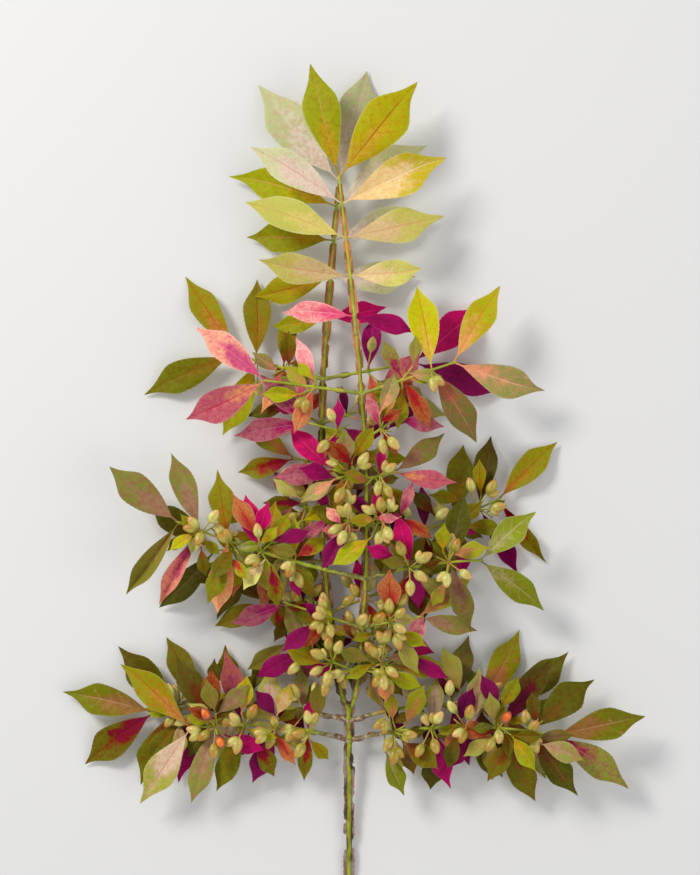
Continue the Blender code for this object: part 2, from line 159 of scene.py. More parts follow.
def shape_ball(node, kind, sides, rings, place):
    """Set a ball's rings along a limb, leaf or stalk: place gives a point for a station and an angle."""
    places, faces = ball(sides, rings)
    points = []
    for ring, angle in places:
        pole = ring in (0, rings)
        points.append(place(max(ring - 1, 0), None if pole else angle))
    blade = [face for face in faces if all(places[corner][0] > 1 for corner in face)]
    tree = BVHTree.FromPolygons(points, faces, all_triangles=True)
    return Body(node, kind, points, faces, tree, BVHTree.FromPolygons(points, blade, all_triangles=True))


def winged_point(centre, half_width, half_height, wing, turn):
    """One of the twelve points of a stem's section: a round core with a blunt wing at each side."""
    level = 1.0 if turn < 6 else -1.0
    if turn in (0, 5, 6, 11):
        edge = -1.0 if turn in (5, 6) else 1.0
        return centre + Vector((edge * (half_width + wing), 0.0, level * WING_THICK * 0.5))
    bent = math.radians(CORE_ANGLES[turn % 6 - 1])
    return centre + Vector((level * math.cos(bent) * half_width, 0.0, level * math.sin(bent) * half_height))


def wing_left(y, nodes):
    """Share of its full width that a wing keeps at a height: it stops short of every node."""
    nearest = min(abs(y - node_y) for node_y in nodes)
    return min(max((nearest - NODE_BARE) / NODE_RAMP, 0.0), 1.0)


def winged_stem(node, line, size, nodes, low, high):
    """A stem whose sections lie across Y, with its wings broken off round each node."""
    heights = {low, high}
    for node_y in nodes:
        for step in (-NODE_BARE - NODE_RAMP, -NODE_BARE, NODE_BARE, NODE_BARE + NODE_RAMP):
            if low + SECTION_NEAR < node_y + step < high - SECTION_NEAR:
                heights.add(node_y + step)
    spaced = [low]
    for height in sorted(heights)[1:]:
        while height - spaced[-1] > SECTION_FAR:
            spaced.append(spaced[-1] + SECTION_STEP)
        spaced.append(height)
    spaced.append(high)

    def place(step, angle):
        y = spaced[step]
        if angle is None:
            return line(y)
        half_width, half_height, wing = size(y)
        turn = round(math.degrees(angle) / 30.0) % 12
        return winged_point(line(y), half_width, half_height, wing * wing_left(y, nodes), turn)
    return shape_ball(node, "limb", 12, len(spaced), place)


def stem_point(y):
    """Centre of the main stem at a height: its cut end lies on the table and it rises towards the fork."""
    return Vector((STEM_X, y, mix(STEM_CORE, STEM_LIFT, (y / FORK_Y) ** STEM_RISE)))


def stem_size(y):
    flare = max(0.0, (y - FORK_Y + FLARE_LONG) / FLARE_LONG)
    return mix(STEM_CORE, FORK_HALF_WIDTH, flare), mix(STEM_CORE, FORK_HALF_HEIGHT, flare), STEM_WING


def leader_point(leader, y):
    """Centre of a leader at a height: it bows out from the fork and swings back over its twin at the top."""
    share = max((y - FORK_Y) / (TOP_Y - FORK_Y), 0.0)
    out = leader.bow * math.sin(math.pi * share ** BOW_SKEW) + LEADER_APART * max(1.0 - share * PARTING, 0.0)
    lift = leader.lift + leader.climb * (1.0 - (1.0 - share) ** 2)
    return Vector((mix(STEM_X, TOP_X, share) + leader.mirror * out, y, lift))


def leader_size(y):
    share = (y - FORK_Y) / (TOP_Y - FORK_Y)
    core = mix(*LEADER_CORE, share)
    return core, core, mix(*LEADER_WING, share)


def foot_height(leader, shoot):
    """Height of a shoot's foot on what carries it: the rear leader's nodes are higher than the front's."""
    step = STEM_NODE_STEP if shoot.tier == 1 else LEADER_NODE_STEP
    return shoot.foot + (step if leader.mirror < 0.0 else 0.0)


def paint(red, green, blue):
    """A colour as the eye names it, from 0 to 255, turned into the linear light that a shader wants."""
    levels = [level / 255.0 for level in (red, green, blue)]
    return [part / 12.92 if part < 0.04045 else ((part + 0.055) / 1.055) ** 2.4 for part in levels] + [1.0]


def toward(colour, level, share):
    """A colour moved some way towards a grey."""
    return [mix(part, level, share) for part in colour[:3]] + [1.0]


class Finish:
    """A material under way. Each call adds a node and gives what comes out of it, and what goes in is either
    plain or comes out of another node."""

    def __init__(self, name, roughness, specular=0.5):
        self.material = bpy.data.materials.new(name)
        self.material.use_nodes = True
        self.tree = self.material.node_tree
        self.wear("Roughness", roughness)
        self.wear("Specular IOR Level", specular)

    def feed(self, socket, value):
        if isinstance(value, bpy.types.NodeSocket):
            self.tree.links.new(value, socket)
        else:
            socket.default_value = value

    def wear(self, socket, value):
        self.feed(self.tree.nodes["Principled BSDF"].inputs[socket], value)

    def node(self, kind, inputs, **settings):
        made = self.tree.nodes.new("ShaderNode" + kind)
        for setting, value in settings.items():
            setattr(made, setting, value)
        for socket, value in inputs.items():
            self.feed(made.inputs[socket], value)
        return made.outputs

    def figure(self, operation, first, second=0.0):
        return self.node("Math", {0: first, 1: second}, operation=operation)[0]

    def times(self, first, second):
        return self.figure("MULTIPLY", first, second)

    def plus(self, first, second):
        return self.figure("ADD", first, second)

    def climb(self, value, low, high):
        """A share that climbs smoothly from nought to one as a value goes from low to high."""
        return self.node("MapRange", {"Value": value, "From Min": low, "From Max": high},
                         interpolation_type="SMOOTHSTEP")[0]

    def blend(self, share, first, second):
        return self.node("Mix", {0: share, 6: first, 7: second}, data_type="RGBA")[2]

    def tinge(self, first, second, value, low, high, strength=1.0):
        """A colour that goes over to a second one, wholly or in part, as a value goes from low to high."""
        return self.blend(self.times(self.climb(value, low, high), strength), first, second)

    def place(self):
        return self.node("TexCoord", {})["Object"]

    def grain(self, scale, detail, stretch=(1.0, 1.0, 1.0)):
        """Noise in the object's own place, drawn out along an axis where the real grain is."""
        turned = self.node("Mapping", {"Vector": self.place(), "Scale": stretch})[0]
        return self.node("TexNoise", {"Vector": turned, "Scale": scale, "Detail": detail})["Fac"]

    def split(self, vector):
        return self.node("SeparateXYZ", {0: vector})

    def growth(self):
        """The three numbers that a mesh's points carry."""
        return self.split(self.node("Attribute", {}, attribute_name="growth")["Vector"])

    def bumps(self, height, strength, distance):
        bump = self.node("Bump", {"Height": height, "Strength": strength, "Distance": distance})
        self.wear("Normal", bump[0])


def carried(rings, *values):
    """A field over some rings of points: the numbers that they carry, nought where none is given."""
    field = np.zeros(rings.shape)
    for column, value in enumerate(values):
        field[:, :, column] = value
    return field


def skin(rings, foot, tip):
    """Points and faces of a closed skin over rings of points, from a foot point to a tip point."""
    count, sides = rings.shape[0], rings.shape[1]
    points = np.vstack([rings.reshape(-1, 3), foot, tip])
    faces = []
    for ring in range(count - 1):
        low = ring * sides
        for side in range(sides):
            after = (side + 1) % sides
            faces.append((low + side, low + after, low + sides + after, low + sides + side))
    last = (count - 1) * sides
    for side in range(sides):
        after = (side + 1) % sides
        faces.append((after, side, count * sides))
        faces.append((last + side, last + after, count * sides + 1))
    return points, faces


def add_piece(name, points, faces, field, finish):
    """A mesh made from arrays in millimetres, moved home into the frame, with a vector on every point."""
    mesh = bpy.data.meshes.new(name)
    mesh.from_pydata(((points + home) * MM).tolist(), [], faces)
    mesh.attributes.new("growth", "FLOAT_VECTOR", "POINT").data.foreach_set("vector", field.ravel())
    mesh.materials.append(finish)
    mesh.shade_smooth()
    piece = bpy.data.objects.new(name, mesh)
    bpy.context.scene.collection.objects.link(piece)
    return piece


WING_STEP = 0.45
CORE_SHARE = 0.82
WING_SHARE = (0.94, 0.76)
FINE_BARE = 0.8
FINE_RAMP = 1.4
CORE_TURNS = 12
NODE_SWELL = 1.18
SCAR_LONG = 0.6
STEM_SWAY = 0.34
FURROW = 0.07
WING_BEND = 0.5
# Points round a fine section: the side they stand at, their angle, and how far they go out with the wing.
WING_PLACES = []
for side, core_from, wing_turns in ((-1.0, 18, (164, 166, 171, 189, 194, 196)),
                                    (1.0, 198, (344, 346, 351, 369, 374, 376))):
    WING_PLACES += [(0.0, turn, 0.0) for turn in range(core_from, core_from + 145, CORE_TURNS)]
    WING_PLACES += [(side, turn, out) for turn, out in zip(wing_turns, (0.35, 0.7, 1.0, 1.0, 0.7, 0.35))]
WING_PLACES.reverse()


def wing_reach(seed, side, y, rough):
    """Share of its width that a wing has at a height: wavy, nicked, and broken off in places on old wood."""
    wave = 0.62 * noise.noise(Vector((seed, y * 0.13, side * 5.0)))
    nick = 0.22 * noise.noise(Vector((seed + 9.0, y * 0.8, side * 5.0)))
    split = max(0.0, noise.noise(Vector((seed + 3.0, y * 0.24, side * 8.0))) - 0.34) * 3.0
    lost = max(0.0, noise.noise(Vector((seed + 7.0, y * 0.085, side * 8.0))) - 0.16) * 6.0
    return max(0.0, min(1.0, mix(*WING_SHARE, rough) + (wave + nick - split - lost) * rough))


def winged_rings(line, size, nodes, low, high, seed, rough):
    """Fine sections of a winged stem: a furrowed green core, with cork wings at its sides."""
    heights = np.linspace(low, high, int((high - low) / WING_STEP) + 1)
    rings = np.zeros((len(heights), len(WING_PLACES), 3))
    field = np.zeros((len(heights), len(WING_PLACES), 3))
    for row, y in enumerate(heights):
        half_width, half_height, wing = size(y)
        centre = line(y)
        nearest = min(abs(y - node_y) for node_y in nodes)
        left = min(max((nearest - FINE_BARE) / FINE_RAMP, 0.0), 1.0)
        swell = mix(NODE_SWELL, 1.0, left)
        scar = max(0.0, 1.0 - nearest / SCAR_LONG)
        sway = STEM_SWAY * rough * noise.noise(Vector((seed, y * 0.09, 0.0)))
        for column, (side, turn, out) in enumerate(WING_PLACES):
            angle = math.radians(turn)
            furrow = 1.0 + FURROW * noise.noise(Vector((turn * 0.11 + seed, y * 0.22, side)))
            x = math.cos(angle) * half_width * CORE_SHARE * furrow * swell
            z = math.sin(angle) * half_height * CORE_SHARE * furrow * swell
            flank = math.copysign(4.0, math.cos(angle))
            creep = noise.noise(Vector((seed, y * 0.12, flank)))
            creep += 0.6 * noise.noise(Vector((seed, y * 0.5, flank)))
            cork = (max(abs(math.cos(angle)) - 0.40, 0.0) * 1.1 + 0.42 * creep) * rough
            if side:
                reach = wing_reach(seed, side, y, rough) * left
                x += side * out * (half_width * (1.0 - CORE_SHARE) + wing) * reach
                bend = WING_BEND * rough * noise.noise(Vector((seed, y * 0.13, side * 3.0)))
                thin = math.copysign(WING_THICK * 0.5 * (1.0 - 0.35 * out), z)
                z = mix(z, thin + bend * out, min(reach * 2.0, 1.0))
                cork = 0.6 + 0.4 * out
            rings[row, column] = (centre.x + x + sway, y, centre.z + z)
            field[row, column] = (cork * mix(0.35, 1.0, left), out, scar)
    return rings, field


def bark_finish():
    """A green stripe down a stem between shoulders and wings of cork, grey-brown on the old wood and
    orange-brown on the young, with a scar at every node."""
    look = Finish("winged_bark", 0.78, 0.25)
    corky, out, scar = look.growth()
    fine = look.grain(1100.0, 4.0, (1.0, 0.3, 1.0))
    broad = look.grain(260.0, 4.0, (1.0, 0.35, 1.0))
    streak = look.grain(620.0, 3.0, (1.0, 0.16, 1.0))
    height = look.split(look.place())[1]
    green = look.tinge(paint(128, 142, 14), paint(168, 180, 34), broad, 0.38, 0.62)
    green = look.tinge(green, paint(112, 82, 34), fine, 0.58, 0.68, 0.5)
    cork = look.tinge(paint(150, 106, 70), paint(150, 130, 114), height, -0.07, -0.14)
    cork = look.tinge(cork, paint(196, 128, 74), height, 0.02, 0.09)
    dark = look.tinge(paint(92, 58, 36), paint(76, 58, 48), height, -0.07, -0.14)
    dark = look.tinge(dark, paint(146, 86, 46), height, 0.02, 0.09)
    cork = look.tinge(cork, dark, broad, 0.58, 0.42)
    cork = look.tinge(cork, paint(150, 92, 62), streak, 0.50, 0.64, 0.6)
    cork = look.tinge(cork, paint(204, 188, 168), fine, 0.58, 0.70, 0.6)
    colour = look.tinge(green, cork, look.plus(corky, look.times(broad, 0.7)), 0.44, 0.66)
    look.wear("Base Color", look.blend(look.times(scar, 0.8), colour, paint(104, 74, 44)))
    look.bumps(look.plus(fine, broad), 0.7, 0.0005)
    return look.material


def cut_finish():
    """Pale fresh wood, with growth rings round a spongy pith."""
    look = Finish("cut_wood", 0.7)
    middle = Vector((np.array(stem_point(0.0)) + home) * MM)
    centre = look.node("VectorMath", {0: look.place(), 1: middle}, operation="SUBTRACT")[0]
    reach = look.node("VectorMath", {0: centre}, operation="LENGTH")["Value"]
    rings = look.figure("PINGPONG", look.times(reach, 2200.0), 1.0)
    wood = look.blend(rings, paint(222, 214, 170), paint(200, 188, 136))
    wood = look.tinge(wood, paint(240, 236, 214), reach, 0.0005, 0.0003)
    look.wear("Base Color", look.tinge(wood, paint(128, 140, 60), reach, 0.00135, 0.0016))
    return look.material


stem_nodes = [foot_height(leader, SHOOTS[0]) for leader in LEADERS] + [FORK_Y]
stems = [winged_stem("main_stem", stem_point, stem_size, stem_nodes, 0.0, FORK_Y)]
stem_low = Vector([min(point[axis] for point in stems[0].points) for axis in range(3)])
home = np.array(Vector(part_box("main_stem")[0]) / MM - stem_low)
winged_bark = bark_finish()


def add_stem(name, node, line, size, nodes, low, high, seed, rough):
    rings, field = winged_rings(line, size, nodes, low, high, seed, rough)
    points, faces = skin(rings, np.array(line(low)), np.array(line(high)))
    field = np.vstack([field.reshape(-1, 3), np.zeros((2, 3))])
    stem = add_piece(name, points, faces, field, winged_bark)
    stem.data.set_sharp_from_angle(angle=math.radians(60.0))
    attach(stem, "root")
    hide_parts(node)
    return stem


main_stem = add_stem("main_stem_bark", "main_stem", stem_point, stem_size, stem_nodes, 0.0, FORK_Y, 1.0, 1.0)
main_stem.data.materials.append(cut_finish())
for face in main_stem.data.polygons:
    if face.normal.y < -0.9 and face.center.y < (home[1] + 0.2) * MM:
        face.material_index = 1
for leader in LEADERS:
    nodes = [FORK_Y + NODE_RAMP] + sorted({foot_height(leader, shoot) for shoot in SHOOTS if shoot.tier > 1})

    def leader_line(y, leader=leader):
        return leader_point(leader, y)
    stems.append(winged_stem(leader.name + "_leader", leader_line, leader_size, nodes, FORK_Y + GAP, SPRAY_Y))
    add_stem(leader.name + "_leader_bark", leader.name + "_leader", leader_line, leader_size, nodes,
             FORK_Y - 1.0, SPRAY_Y + 0.8, 5.0 + leader.mirror, 0.8)

# Green shoots: this year's growth, smooth and round, yellow-green, swollen where each leaf pair stands and
# ending in a pointed bud. Each grows out of its leader at a node, and the long ones start as a bare bough.
TWIG_END = 0.55
BUD = 0.25
BUD_LONG = 2.0
FIRST_PAIR = 0.45
BOUGH_PAIR = 0.08
BOUGH_STEPS = 3
TWIG_STEPS = 4
PAIR_CROWDING = 1.2
AHEAD = 0.01
SHED = 0.25
TOP_TWIG = (0.95, 0.6)
TOP_TIER = 9
TOP_PAIRS = 5
TOP_FIRST = 0.1
TOP_LEAF = (61.0, 36.0)
TOP_SPREAD = (26.0, 97.0)
TOP_SAG = 12.0
Spray = namedtuple("Spray", "node tier leader side line places leaf spread sag hanging shed capsules chance "
                            "radius foot")


def tube(node, kind, line, stations, radius, sides):
    """A round tapering limb along a line, with flat ends."""
    shares = list(stations) + [stations[-1]]

    def place(step, angle):
        share = shares[step]
        centre = line(share)
        if angle is None:
            return centre
        ahead = (line(share + AHEAD) - line(share - AHEAD)).normalized()
        across = ahead.cross(UP).normalized()
        above = across.cross(ahead)
        return centre + (across * math.cos(angle) + above * math.sin(angle)) * radius(share)
    return shape_ball(node, kind, sides, len(shares), place)


def shoot_line(leader, shoot, start, core):
    """The line of a side shoot from its foot to its tip, turned and mirrored for its leader."""
    side = shoot.side * leader.mirror
    reach = Vector((side * shoot.across, shoot.along, 0.0)) * leader.scale
    if shoot.tier > 1:
        reach.rotate(Matrix.Rotation(math.radians(leader.turn), 3, "Z"))
    bow = Vector((-reach.y, reach.x, 0.0)).normalized() * (shoot.bow * side)
    away = (reach + bow * 4.0).normalized()
    foot = start + Vector((side * (core + GAP + shoot.radius * abs(away.y)), 0.0, 0.0))
    rise = UP * (math.tan(math.radians(leader.shoot_pitch)) * shoot.across)

    def line(share):
        return foot + (reach + rise) * share + bow * (4.0 * share * (1.0 - share))
    return line


def pair_places(pairs, first):
    """Shares of the twig where the leaf pairs stand, closer together towards the tip."""
    return [1.0 - (1.0 - first) * (step / (pairs - 1)) ** PAIR_CROWDING for step in range(pairs)]


def grow_shoot(leader, shoot):
    """Add a side shoot's bare bough, if it has one, its twig, and the spray that its leaves are placed by."""
    side = shoot.side * leader.mirror
    where = str(shoot.tier) + ("_right" if side > 0.0 else "_left")
    foot = foot_height(leader, shoot)
    if shoot.tier == 1:
        line = shoot_line(leader, shoot, stem_point(foot), stem_size(foot)[0])
    else:
        line = shoot_line(leader, shoot, leader_point(leader, foot), leader_size(foot)[0])
    length = (line(1.0) - line(0.0)).length

    def radius(share):
        return mix(shoot.radius, TWIG_END, share) if share <= 1.0 else BUD
    begin = 0.0
    first = FIRST_PAIR
    if shoot.bough > 0.0:
        stations = [shoot.bough * step / BOUGH_STEPS for step in range(BOUGH_STEPS + 1)]
        boughs.append(tube(leader.name + "_bough_" + where, "limb", line, stations, radius, 6))
        begin = shoot.bough + GAP / length
        first = shoot.bough + BOUGH_PAIR
    node = leader.name + "_spray_" + where
    steps = TWIG_STEPS if shoot.bow else 1
    stations = [mix(begin, 1.0, step / steps) for step in range(steps + 1)] + [1.0 + BUD_LONG / length]
    twigs.append(tube(node, "twig", line, stations, radius, 4))
    sprays.append(Spray(node, shoot.tier, leader, side, line, pair_places(shoot.pairs, first),
                        (shoot.leaf_tip, shoot.leaf_foot), (shoot.spread_tip, shoot.spread_foot),
                        shoot.sag, shoot.hanging, SHED, shoot.capsules, random.Random(node),
                        (shoot.radius, TWIG_END), -2.2 / length))


def grow_top(leader):
    """Add the twig that ends a leader, and its spray of large leaves."""
    node = leader.name + "_top_spray"

    def line(share):
        return leader_point(leader, mix(SPRAY_Y + GAP, TOP_Y, share))

    def radius(share):
        return mix(*TOP_TWIG, share)
    stations = [step / TWIG_STEPS for step in range(TWIG_STEPS + 1)]
    twigs.append(tube(node, "twig", line, stations, radius, 5))
    sprays.append(Spray(node, TOP_TIER, leader, leader.mirror, line, pair_places(TOP_PAIRS, TOP_FIRST),
                        TOP_LEAF, TOP_SPREAD, TOP_SAG, 0, 0.0, 0, random.Random(node), TOP_TWIG, -0.02))


boughs = []
twigs = []
sprays = []
for leader in LEADERS:
    for shoot in SHOOTS:
        grow_shoot(leader, shoot)
    grow_top(leader)


def turns(sides):
    return np.linspace(2.0 * math.pi, 0.0, sides, endpoint=False)


def round_rings(centres, radii, sides):
    """Rings of points square to a line of centres."""
    ahead = np.gradient(centres, axis=0)
    ahead /= np.linalg.norm(ahead, axis=1)[:, None]
    across = np.cross(ahead, (0.0, 0.0, 1.0))
    across /= np.linalg.norm(across, axis=1)[:, None]
    above = np.cross(across, ahead)
    turn = turns(sides)[None, :, None]
    ring = across[:, None, :] * np.cos(turn) + above[:, None, :] * np.sin(turn)
    return centres[:, None, :] + ring * np.asarray(radii)[:, None, None]


TWIG_SIDES = 12
TWIG_STEP = 0.8
TWIG_FINE = 0.92
# How much a shoot swells, and how far to either side, at a leaf pair and at its own foot.
PAIR_SWELL = (0.30, 1.1)
FOOT_SWELL = (0.45, 2.0)
SLIVER = 0.75
SLIVER_END = 0.62
SLIVER_TIERS = (1, 4, 8)
BARKY = {1: 1.0, 2: 0.6, 3: 0.5, 4: 0.6}
BARKY_YOUNG = 0.3


def twig_rings(spray):
    """Fine rings of a shoot from inside its leader to its bud, swollen at the leaf pairs, with slivers of
    cork along both sides near the foot of a long one."""
    length = (spray.line(1.0) - spray.line(0.0)).length
    end = 1.0 + BUD_LONG / length
    shares = np.linspace(spray.foot, end, max(int(length / TWIG_STEP), 12))
    centres = np.array([spray.line(share) for share in shares])
    radii = mix(spray.radius[0], spray.radius[1], np.clip(shares, 0.0, 1.0)) * TWIG_FINE
    for place in spray.places:
        radii += PAIR_SWELL[0] * np.exp(-(((shares - place) * length) / PAIR_SWELL[1]) ** 2)
    radii += FOOT_SWELL[0] * np.exp(-((shares - spray.foot) * length / FOOT_SWELL[1]) ** 2)
    taper = np.clip((end - shares) * length / BUD_LONG, 0.0, 1.0)
    radii *= np.where(shares > 1.0, mix(0.25, 1.0, taper), 1.0)
    rings = round_rings(centres, radii, TWIG_SIDES)
    field = carried(rings, np.clip(shares, 0.0, 1.0)[:, None], 0.0, BARKY.get(spray.tier, BARKY_YOUNG))
    if spray.tier in SLIVER_TIERS:
        own = spray.tier * spray.side * spray.leader.mirror * 3.0
        for side in (0, TWIG_SIDES // 2):
            for row, share in enumerate(shares):
                spot = Vector((share * length * 0.16, side, own))
                there = max(0.0, min(1.0, noise.noise(spot) * 6.0 - 0.6))
                there *= max(0.0, min(1.0, (SLIVER_END - share) * 6.0))
                there *= 0.8 + 0.4 * noise.noise(spot * 9.0)
                rings[row, side] += (rings[row, side] - centres[row]) * (SLIVER * there / radii[row])
                field[row, side, 1] = there
    return rings, field


def twig_finish():
    """Smooth green bark flushed with orange, grey-brown and streaked at the feet of the oldest shoots, with
    pale specks and slivers of cork."""
    look = Finish("green_bark", 0.48, 0.35)
    along, sliver, barky = look.growth()
    fine = look.grain(1400.0, 3.0, (0.5, 0.5, 1.0))
    broad = look.grain(120.0, 2.0)
    green = look.tinge(paint(140, 156, 20), paint(178, 184, 50), broad, 0.38, 0.62)
    green = look.tinge(green, paint(206, 142, 72), look.grain(60.0, 3.0), 0.52, 0.68, 0.55)
    wood = look.tinge(paint(112, 88, 60), paint(182, 164, 132), look.grain(480.0, 4.0), 0.42, 0.62)
    aged = look.climb(look.plus(along, look.times(broad, 0.2)), 0.38, 0.14)
    green = look.blend(look.times(aged, barky), green, wood)
    green = look.tinge(green, paint(200, 184, 110), fine, 0.60, 0.70, 0.6)
    look.wear("Base Color", look.tinge(green, paint(140, 88, 52), sliver, 0.1, 0.5))
    look.bumps(fine, 0.25, 0.0002)
    return look.material


def join_skins(parts):
    """Points, faces and fields of many skins as one, each closed on the middles of its end rings."""
    points, faces, fields, start = [], [], [], 0
    for rings, field in parts:
        more, made = skin(rings, rings[0].mean(0), rings[-1].mean(0))
        points.append(more)
        faces += [tuple(start + corner for corner in face) for face in made]
        fields.append(np.vstack([field.reshape(-1, 3), field[0, 0], field[-1, 0]]))
        start += len(more)
    return np.vstack(points), faces, np.vstack(fields)


green_bark = twig_finish()
for leader in LEADERS:
    parts = [twig_rings(spray) for spray in sprays if spray.leader is leader]
    shoots = add_piece(leader.name + "_green_shoots", *join_skins(parts), green_bark)
    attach(shoots, "root")
    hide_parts(*[body.node for body in boughs if body.node.startswith(leader.name)])

# Young wings: the two strips of fresh orange-brown cork that run on up each leader between its top leaf
# pairs, narrower and smoother than those on the old wood.
YOUNG_WING = (1.6, 0.8)
WING_END = 3.0


def young_size(y):
    share = (y - SPRAY_Y) / (TOP_Y - SPRAY_Y)
    core = mix(*TOP_TWIG, share)
    return core, core, mix(*YOUNG_WING, share)


for leader in LEADERS:
    def top_line(y, leader=leader):
        return leader_point(leader, y)
    nodes = [mix(SPRAY_Y + GAP, TOP_Y, share) for share in pair_places(TOP_PAIRS, TOP_FIRST)]
    add_stem(leader.name + "_young_wings", leader.name + "_top_spray", top_line, young_size, nodes,
             SPRAY_Y + 0.2, TOP_Y - WING_END, 11.0 + leader.mirror, 0.15)

# Leaves: thin, pointed and finely toothed, on short stalks in opposite pairs, with a midrib and arching side
# veins. Each keeps the pitch at which it first comes clear of its neighbours, from the outer pairs inward.
CLEAR = 0.45
TABLE = 0.05
LEAF_STATIONS = (0.0, 0.12, 0.36, 0.61, 0.83, 1.0)
LEAF_OUTLINE = (0.05, 0.15, 0.90, 0.92, 0.34, 0.0)
SMALL_LEAF = 27.0
SMALL_STATIONS = (0.0, 0.14, 0.50, 0.84, 1.0)
SMALL_OUTLINE = (0.07, 0.16, 1.0, 0.42, 0.0)
LEAF_WIDTH = 0.40
LEAF_THICK = 0.9
TIP_THINNER = 0.4
FOLD = 15.0
HANGING_FOLD = 52.0
ANGLE_STRAY = 4.0
INNER_STRAY = 8.0
PITCH_STRAY = 5.0
DROOP_RANGE = (8.0, 24.0)
ROLL_STRAY = 9.0
FOLD_STRAY = (-4.0, 6.0)
SIZE_RANGE = (0.92, 1.06)
INNER_SMALLER = 0.17
WIDTH_RANGE = (0.88, 1.12)
TIP_LEAN = 1.6
PITCH_STEPS = (0, 5, -5, 10, -10, 15, -15, 20, -20, 26, -26, 32, -32, 40, 50)
Blade = namedtuple("Blade", "order shape")


def leaf(node, root, heading, pitch, droop, roll, fold, length, width, extra=0.0):
    """The plain body of a leaf: folded up from its midrib and drooping along its length."""
    small = length < SMALL_LEAF
    stations = SMALL_STATIONS if small else LEAF_STATIONS
    outline = SMALL_OUTLINE if small else LEAF_OUTLINE
    out = Vector((math.cos(heading), math.sin(heading), 0.0))
    side = out.cross(UP)

    def place(step, angle):
        share = stations[step]
        chord = pitch - droop * share * 0.5
        centre = root + (out * math.cos(chord) + UP * math.sin(chord)) * (length * share)
        if angle is None:
            return centre
        tilt = pitch - droop * share
        flat = UP * math.cos(tilt) - out * math.sin(tilt)
        across = side * math.cos(roll) + flat * math.sin(roll)
        above = flat * math.cos(roll) - side * math.sin(roll)
        half = outline[step] * width * 0.5 + extra
        thick = LEAF_THICK * 0.5 * (1.0 - TIP_THINNER * share) + extra
        rise = abs(math.cos(angle)) * half * math.sin(fold) + math.sin(angle) * thick
        return centre + across * (math.cos(angle) * half * math.cos(fold)) + above * rise
    return shape_ball(node, "leaf", 4, len(stations), place)


def lowest(body):
    return min(point.z for point in body.points)


def clashes(body, placed):
    """Whether a body would cross another node's, or its blade the blade of another leaf of its own node."""
    for other in placed:
        if other.node != body.node:
            if body.tree.overlap(other.tree):
                return True
        elif other.kind != "twig" and body.blade.overlap(other.blade):
            return True
    return False


def fits(body, grown):
    """Whether a body stands clear of the table, and its grown double of all that is placed."""
    return lowest(body) >= TABLE and not clashes(grown, placed)


def heading_at(line, share):
    ahead = line(share + AHEAD) - line(share - AHEAD)
    return math.atan2(ahead.y, ahead.x)


def place_pair(spray, step):
    """Set the two leaves of one pair, each at the first pitch that keeps clear of all that is placed."""
    inward = step / (len(spray.places) - 1)
    root = spray.line(spray.places[step])
    heading = heading_at(spray.line, spray.places[step])
    length = mix(*spray.leaf, inward ** 1.5)
    spread = mix(*spray.spread, inward ** 0.5)
    lean = -spray.side * spray.sag * (TIP_LEAN if step == 0 else 1.0)
    chance = spray.chance
    for hand in (1.0, -1.0):
        if chance.random() < spray.shed * inward:
            continue
        size = length * chance.uniform(SIZE_RANGE[0] - INNER_SMALLER * inward, SIZE_RANGE[1])
        stray = ANGLE_STRAY + INNER_STRAY * inward
        way = heading + math.radians(hand * (spread + chance.uniform(-stray, stray)) + lean)
        pitch = spray.leader.leaf_pitch + chance.uniform(-PITCH_STRAY, PITCH_STRAY)
        droop = math.radians(chance.uniform(*DROOP_RANGE))
        roll = math.radians(chance.uniform(-ROLL_STRAY, ROLL_STRAY))
        fold = math.radians(FOLD + chance.uniform(*FOLD_STRAY))
        width = size * LEAF_WIDTH * chance.uniform(*WIDTH_RANGE)
        if step < spray.hanging and math.sin(way) < 0.0:
            fold = math.radians(HANGING_FOLD)
        for pitch_step in PITCH_STEPS:
            shape = (spray.node, root, way, math.radians(pitch + pitch_step), droop, roll, fold, size, width)
            found = leaf(*shape)
            if fits(found, leaf(*shape, CLEAR)):
                placed.append(found)
                blades[spray.node].append(Blade(2 * step + (hand < 0.0), shape))
                break


placed = stems + boughs + twigs
blades = {spray.node: [] for spray in sprays}
for step in range(max(len(spray.places) for spray in sprays)):
    for spray in sprays:
        if step < len(spray.places):
            place_pair(spray, step)

# Seed capsules: olive-yellow eggs on thin stalks that spring from the leaf angles, each with a collar of dry
# sepals at its foot. They are placed after the leaves, where they keep clear of all that is there.
CAPSULE_LONG = 7.8
CAPSULE_WIDE = 6.0
CAPSULE_STATIONS = (0.0, 0.3, 0.68, 1.0)
CAPSULE_OUTLINE = (0.18, 1.0, 0.84, 0.0)
CAPSULE_STALK = 0.45
STALK_REACH = (9.0, 16.0)
STALK_SWING = (15.0, 125.0)
STALK_TILT = (-16.0, 22.0)
STALK_BACK = 0.015
CAPSULE_TRIES = 14
Pod = namedtuple("Pod", "leader root axis reach body")


def capsule(node, root, axis, reach, extra=0.0):
    """The plain body of a seed capsule: egg-shaped, drawn out at its foot into a thin straight stalk."""
    near = reach - CAPSULE_LONG * 0.5
    stations = [0.0] + [near + CAPSULE_LONG * share for share in CAPSULE_STATIONS]
    sizes = [CAPSULE_STALK] + [CAPSULE_WIDE * 0.5 * share for share in CAPSULE_OUTLINE]
    across = axis.cross(UP).normalized()
    above = across.cross(axis)

    def place(step, angle):
        centre = root + axis * stations[step]
        if angle is None:
            return centre
        return centre + (across * math.cos(angle) + above * math.sin(angle)) * (sizes[step] + extra)
    return shape_ball(node, "capsule", 4, len(stations), place)


def point_at(way, tilt):
    return Vector((math.cos(way) * math.cos(tilt), math.sin(way) * math.cos(tilt), math.sin(tilt)))


